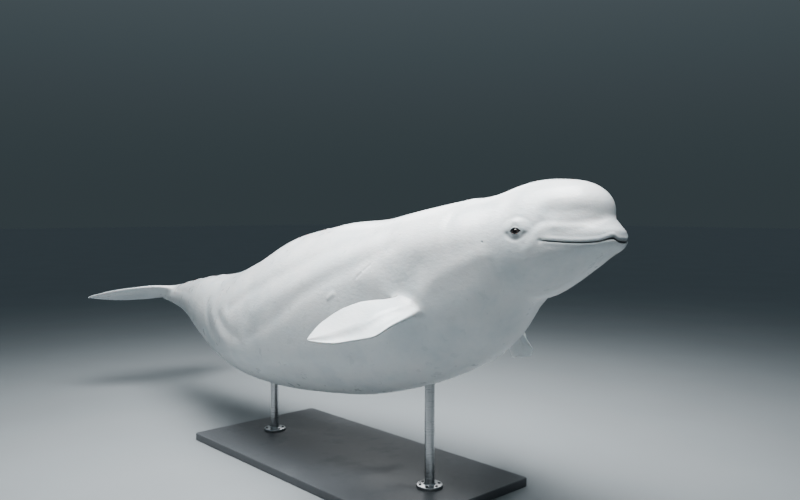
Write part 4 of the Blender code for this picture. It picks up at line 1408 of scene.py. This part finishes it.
def plate_object(low, high):
    """The base plate, with round corners and soft edges."""
    bm = bmesh.new()
    size = [high[k] - low[k] for k in range(3)]
    bmesh.ops.create_cube(bm, size=1.0, matrix=Matrix.Diagonal((*size, 1.0)))
    bmesh.ops.translate(bm, verts=bm.verts, vec=[(high[k] + low[k]) / 2 for k in range(3)])

    def rise(edge):
        return abs(edge.verts[0].co.z - edge.verts[1].co.z)

    def slopes(edge):
        return [abs(face.normal.z) for face in edge.link_faces]

    upright = [e for e in bm.edges if rise(e) > 0.01]
    bmesh.ops.bevel(bm, geom=upright, offset=PLATE_CORNER, segments=10, affect="EDGES", profile=0.5)
    rims = [e for e in bm.edges if rise(e) < 1e-6 and max(slopes(e)) > 0.9 and min(slopes(e)) < 0.1]
    bmesh.ops.bevel(bm, geom=rims, offset=PLATE_EDGE, segments=5, affect="EDGES", profile=0.5)
    mesh = bpy.data.meshes.new("stand_plate")
    bm.to_mesh(mesh)
    bm.free()
    return link_object("stand_plate", mesh)


def rod_centre(name):
    low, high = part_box(name)
    return (low[0] + high[0]) / 2, (low[1] + high[1]) / 2


def turned_rod(name, centre, bottom, tall, stand):
    """A rod turned with its flange in one profile, from the base to just inside the belly."""
    r = stand.flange_radius
    t = stand.flange_thickness
    rod = stand.rod_radius
    outline = [(r - FOOT_BEVEL, 0.0), (r, FOOT_BEVEL), (r, t - FOOT_ROUND)]
    for a in np.linspace(0.3, pi / 2, 5):
        outline.append((r - FOOT_ROUND * (1 - cos(a)), t - FOOT_ROUND * (1 - sin(a))))
    for a in np.linspace(0, pi / 2, 8):
        outline.append((rod + FOOT_WELD * (1 - sin(a)), t + FOOT_WELD * (1 - cos(a))))
    outline += [(rod, t + (tall - t) * k / 8) for k in range(1, 8)]
    outline += [(rod, tall - ROD_BEVEL), (rod - ROD_BEVEL, tall - 0.2 * ROD_BEVEL)]
    points = []
    for radius, z in outline:
        for j in range(ROD_SIDES):
            turn = 2 * pi * j / ROD_SIDES
            points.append((centre[0] + radius * cos(turn), centre[1] + radius * sin(turn), bottom + z))
    foot = len(points)
    points += [(*centre, bottom), (*centre, bottom + tall)]
    faces = tube_faces(0, len(outline), ROD_SIDES)
    for j in range(ROD_SIDES):
        k = (j + 1) % ROD_SIDES
        faces.append((foot, k, j))
        faces.append((foot + 1, foot - ROD_SIDES + j, foot - ROD_SIDES + k))
    return mesh_object(name, points, faces)


class BELUGA_OT_stand(Operator):
    """Build the stand: base plate and turned rods with their flanges"""
    bl_idname = "beluga.stand"
    bl_label = "Stand"

    def execute(self, context):
        colours = context.scene.beluga_colours
        plate = plate_object(*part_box("stand_base"))
        finish_piece(plate, painted_material(colours), ("stand_base",), CREASE_ANGLE)
        steel = steel_material("brushed_steel_rod", colours)
        for name in RODS:
            low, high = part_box(name)
            post = name.replace("stand_rod", "stand_post")
            rod = turned_rod(post, rod_centre(name), low[2], high[2] - low[2], context.scene.beluga_stand)
            finish_piece(rod, steel, (name,), CREASE_ANGLE)
        return {"FINISHED"}


def screw_tree():
    """A node tree that sets round-headed socket screws on a circle at each point of a mesh."""
    tree = bpy.data.node_groups.new("screw circles", "GeometryNodeTree")
    face = tree.interface
    for name, kind in (
        ("Geometry", "Geometry"), ("Circle radius", "Float"), ("Head radius", "Float"),
        ("Head height", "Float"), ("Count", "Int"), ("Material", "Material"),
    ):
        face.new_socket(name, in_out="INPUT", socket_type="NodeSocket" + kind)
    face.new_socket("Geometry", in_out="OUTPUT", socket_type="NodeSocketGeometry")
    into = node(tree, "NodeGroupInput").outputs
    out = node(tree, "NodeGroupOutput").inputs

    def step(kind, output, **sockets):
        """A node with its inputs linked or set, and the output that is wanted of it."""
        made = node(tree, "GeometryNode" + kind)
        for key, value in sockets.items():
            feed(tree, made.inputs[key.replace("_", " ")], value)
        return made.outputs[output]

    def cone(bottom, top, depth, lift, sides):
        made = step("MeshCone", "Mesh", Vertices=sides, Radius_Bottom=bottom, Radius_Top=top, Depth=depth)
        place = node(tree, "ShaderNodeCombineXYZ")
        feed(tree, place.inputs["Z"], lift)
        return step("Transform", "Geometry", Geometry=made, Translation=place.outputs["Vector"])

    def share(socket, number):
        return arithmetic(tree, "MULTIPLY", socket, number)

    wide = into["Head radius"]
    tall = into["Head height"]
    body = cone(wide, wide, share(tall, 0.6), 0.0, 32)
    crown = cone(wide, share(wide, 0.80), share(tall, 0.4), share(tall, 0.6), 32)
    key_hole = cone(share(wide, 0.50), share(wide, 0.50), tall, share(tall, 0.45), 6)
    joined = node(tree, "GeometryNodeJoinGeometry")
    for solid in (body, crown):
        tree.links.new(solid, joined.inputs["Geometry"])
    merged = node(tree, "GeometryNodeMeshBoolean", operation="UNION")
    tree.links.new(joined.outputs["Geometry"], merged.inputs["Mesh 2"])
    cut = node(tree, "GeometryNodeMeshBoolean", operation="DIFFERENCE")
    tree.links.new(merged.outputs["Mesh"], cut.inputs["Mesh 1"])
    tree.links.new(key_hole, cut.inputs["Mesh 2"])
    circle = step("MeshCircle", "Mesh", Vertices=into["Count"], Radius=into["Circle radius"])
    ring = step("InstanceOnPoints", "Instances", Points=circle, Instance=cut.outputs["Mesh"])
    every = step("InstanceOnPoints", "Instances", Points=into["Geometry"], Instance=ring)
    real = step("RealizeInstances", "Geometry", Geometry=every)
    dressed = step("SetMaterial", "Geometry", Geometry=real, Material=into["Material"])
    tree.links.new(dressed, out["Geometry"])
    return tree


def set_inputs(modifier, values):
    """Sets a node modifier's inputs by their sockets' identifiers."""
    for item in modifier.node_group.interface.items_tree:
        if item.item_type == "SOCKET" and item.in_out == "INPUT" and item.name in values:
            modifier[item.identifier] = values[item.name]


class BELUGA_OT_screws(Operator):
    """Set the screws in the flanges of the stand's rods"""
    bl_idname = "beluga.screws"
    bl_label = "Screws"

    def execute(self, context):
        stand = context.scene.beluga_stand
        places = [(*rod_centre(name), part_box(name)[0][2] + stand.flange_thickness) for name in RODS]
        mesh = bpy.data.meshes.new("stand_screws")
        mesh.from_pydata(places, [], [])
        screws = link_object("stand_screws", mesh)
        dark = steel_material("dark_steel_screw", context.scene.beluga_colours, 0.55)
        modifier = screws.modifiers.new("screws", "NODES")
        modifier.node_group = screw_tree()
        set_inputs(modifier, {
            "Circle radius": stand.bolt_circle, "Head radius": stand.bolt_radius,
            "Head height": SCREW_HEIGHT, "Count": stand.bolts, "Material": dark,
        })
        apply_modifiers(screws)
        if not screws.data.polygons:
            raise RuntimeError("the screws came out empty")
        finish_piece(screws, dark, (), CREASE_ANGLE)
        return {"FINISHED"}


def aimed(way):
    """The turn that makes a light or a camera look along a direction."""
    return Vector(way).to_track_quat("-Z", "Y").to_euler()


def studio_world():
    world = bpy.data.worlds.new("studio")
    world.use_nodes = True
    sky = world.node_tree
    way = node(sky, "ShaderNodeSeparateXYZ")
    sky.links.new(node(sky, "ShaderNodeTexCoord").outputs["Generated"], way.inputs["Vector"])
    shade = mix(sky, ramp(sky, way.outputs["Z"], 0.0, SKY_RISE), SKY_LOW, SKY_HIGH)
    sky.links.new(shade, sky.nodes["Background"].inputs["Color"])
    sky.nodes["Background"].inputs["Strength"].default_value = 1.0
    return world


class BELUGA_OT_stage(Operator):
    """Lay the floor, light it softly and set the camera"""
    bl_idname = "beluga.stage"
    bl_label = "Stage"

    def execute(self, context):
        scene = context.scene
        corners = [(FLOOR_HALF * x, FLOOR_HALF * y, 0) for x, y in ((-1, -1), (1, -1), (1, 1), (-1, 1))]
        floor = mesh_object("floor", corners, [(0, 1, 2, 3)])
        floor.data.materials.append(floor_material(scene.beluga_colours))
        scene.world = studio_world()
        for name, at, aim, size, power in LIGHTS:
            light = bpy.data.lights.new(name, "AREA")
            light.shape = "SQUARE"
            light.size = size
            light.energy = power
            light.spread = LIGHT_SPREAD
            lamp = link_object(name, light)
            lamp.location = at
            lamp.rotation_euler = aimed(Vector(aim) - Vector(at))
        view = bpy.data.cameras.new("camera")
        view.sensor_width = 36.0
        view.lens = scene.beluga_stage.lens
        view.clip_end = 200.0
        camera = link_object("camera", view)
        camera.location = scene.beluga_stage.camera_at
        camera.rotation_euler = aimed(scene.beluga_stage.camera_way)
        scene.camera = camera
        scene.view_settings.look = "AgX - Medium High Contrast"
        return {"FINISHED"}


class BELUGA_PT_panel(Panel):
    """Lists the whale's sizes, colours and pieces"""
    bl_idname = "BELUGA_PT_panel"
    bl_label = "Beluga"
    bl_space_type = "VIEW_3D"
    bl_region_type = "UI"
    bl_category = "Beluga"

    def draw(self, context):
        for name, group in GROUPS:
            box = self.layout.box()
            for key in group.__annotations__:
                box.prop(getattr(context.scene, name), key)
        for step in STEPS:
            self.layout.operator(step.bl_idname)


STEPS = (BELUGA_OT_skin, BELUGA_OT_eyes, BELUGA_OT_stand, BELUGA_OT_screws, BELUGA_OT_stage)
GROUPS = (
    ("beluga_body", BelugaBody), ("beluga_colours", BelugaColours),
    ("beluga_stand", BelugaStand), ("beluga_stage", BelugaStage),
)


def register():
    for name, group in GROUPS:
        bpy.utils.register_class(group)
        setattr(bpy.types.Scene, name, PointerProperty(type=group))
    for item in (*STEPS, BELUGA_PT_panel):
        bpy.utils.register_class(item)


def unregister():
    for item in (BELUGA_PT_panel, *reversed(STEPS)):
        bpy.utils.unregister_class(item)
    for name, group in reversed(GROUPS):
        delattr(bpy.types.Scene, name)
        bpy.utils.unregister_class(group)


def main():
    register()
    bpy.ops.beluga.skin()
    bpy.ops.beluga.eyes()
    bpy.ops.beluga.stand()
    bpy.ops.beluga.screws()
    bpy.ops.beluga.stage()


if __name__ == "__main__":
    main()
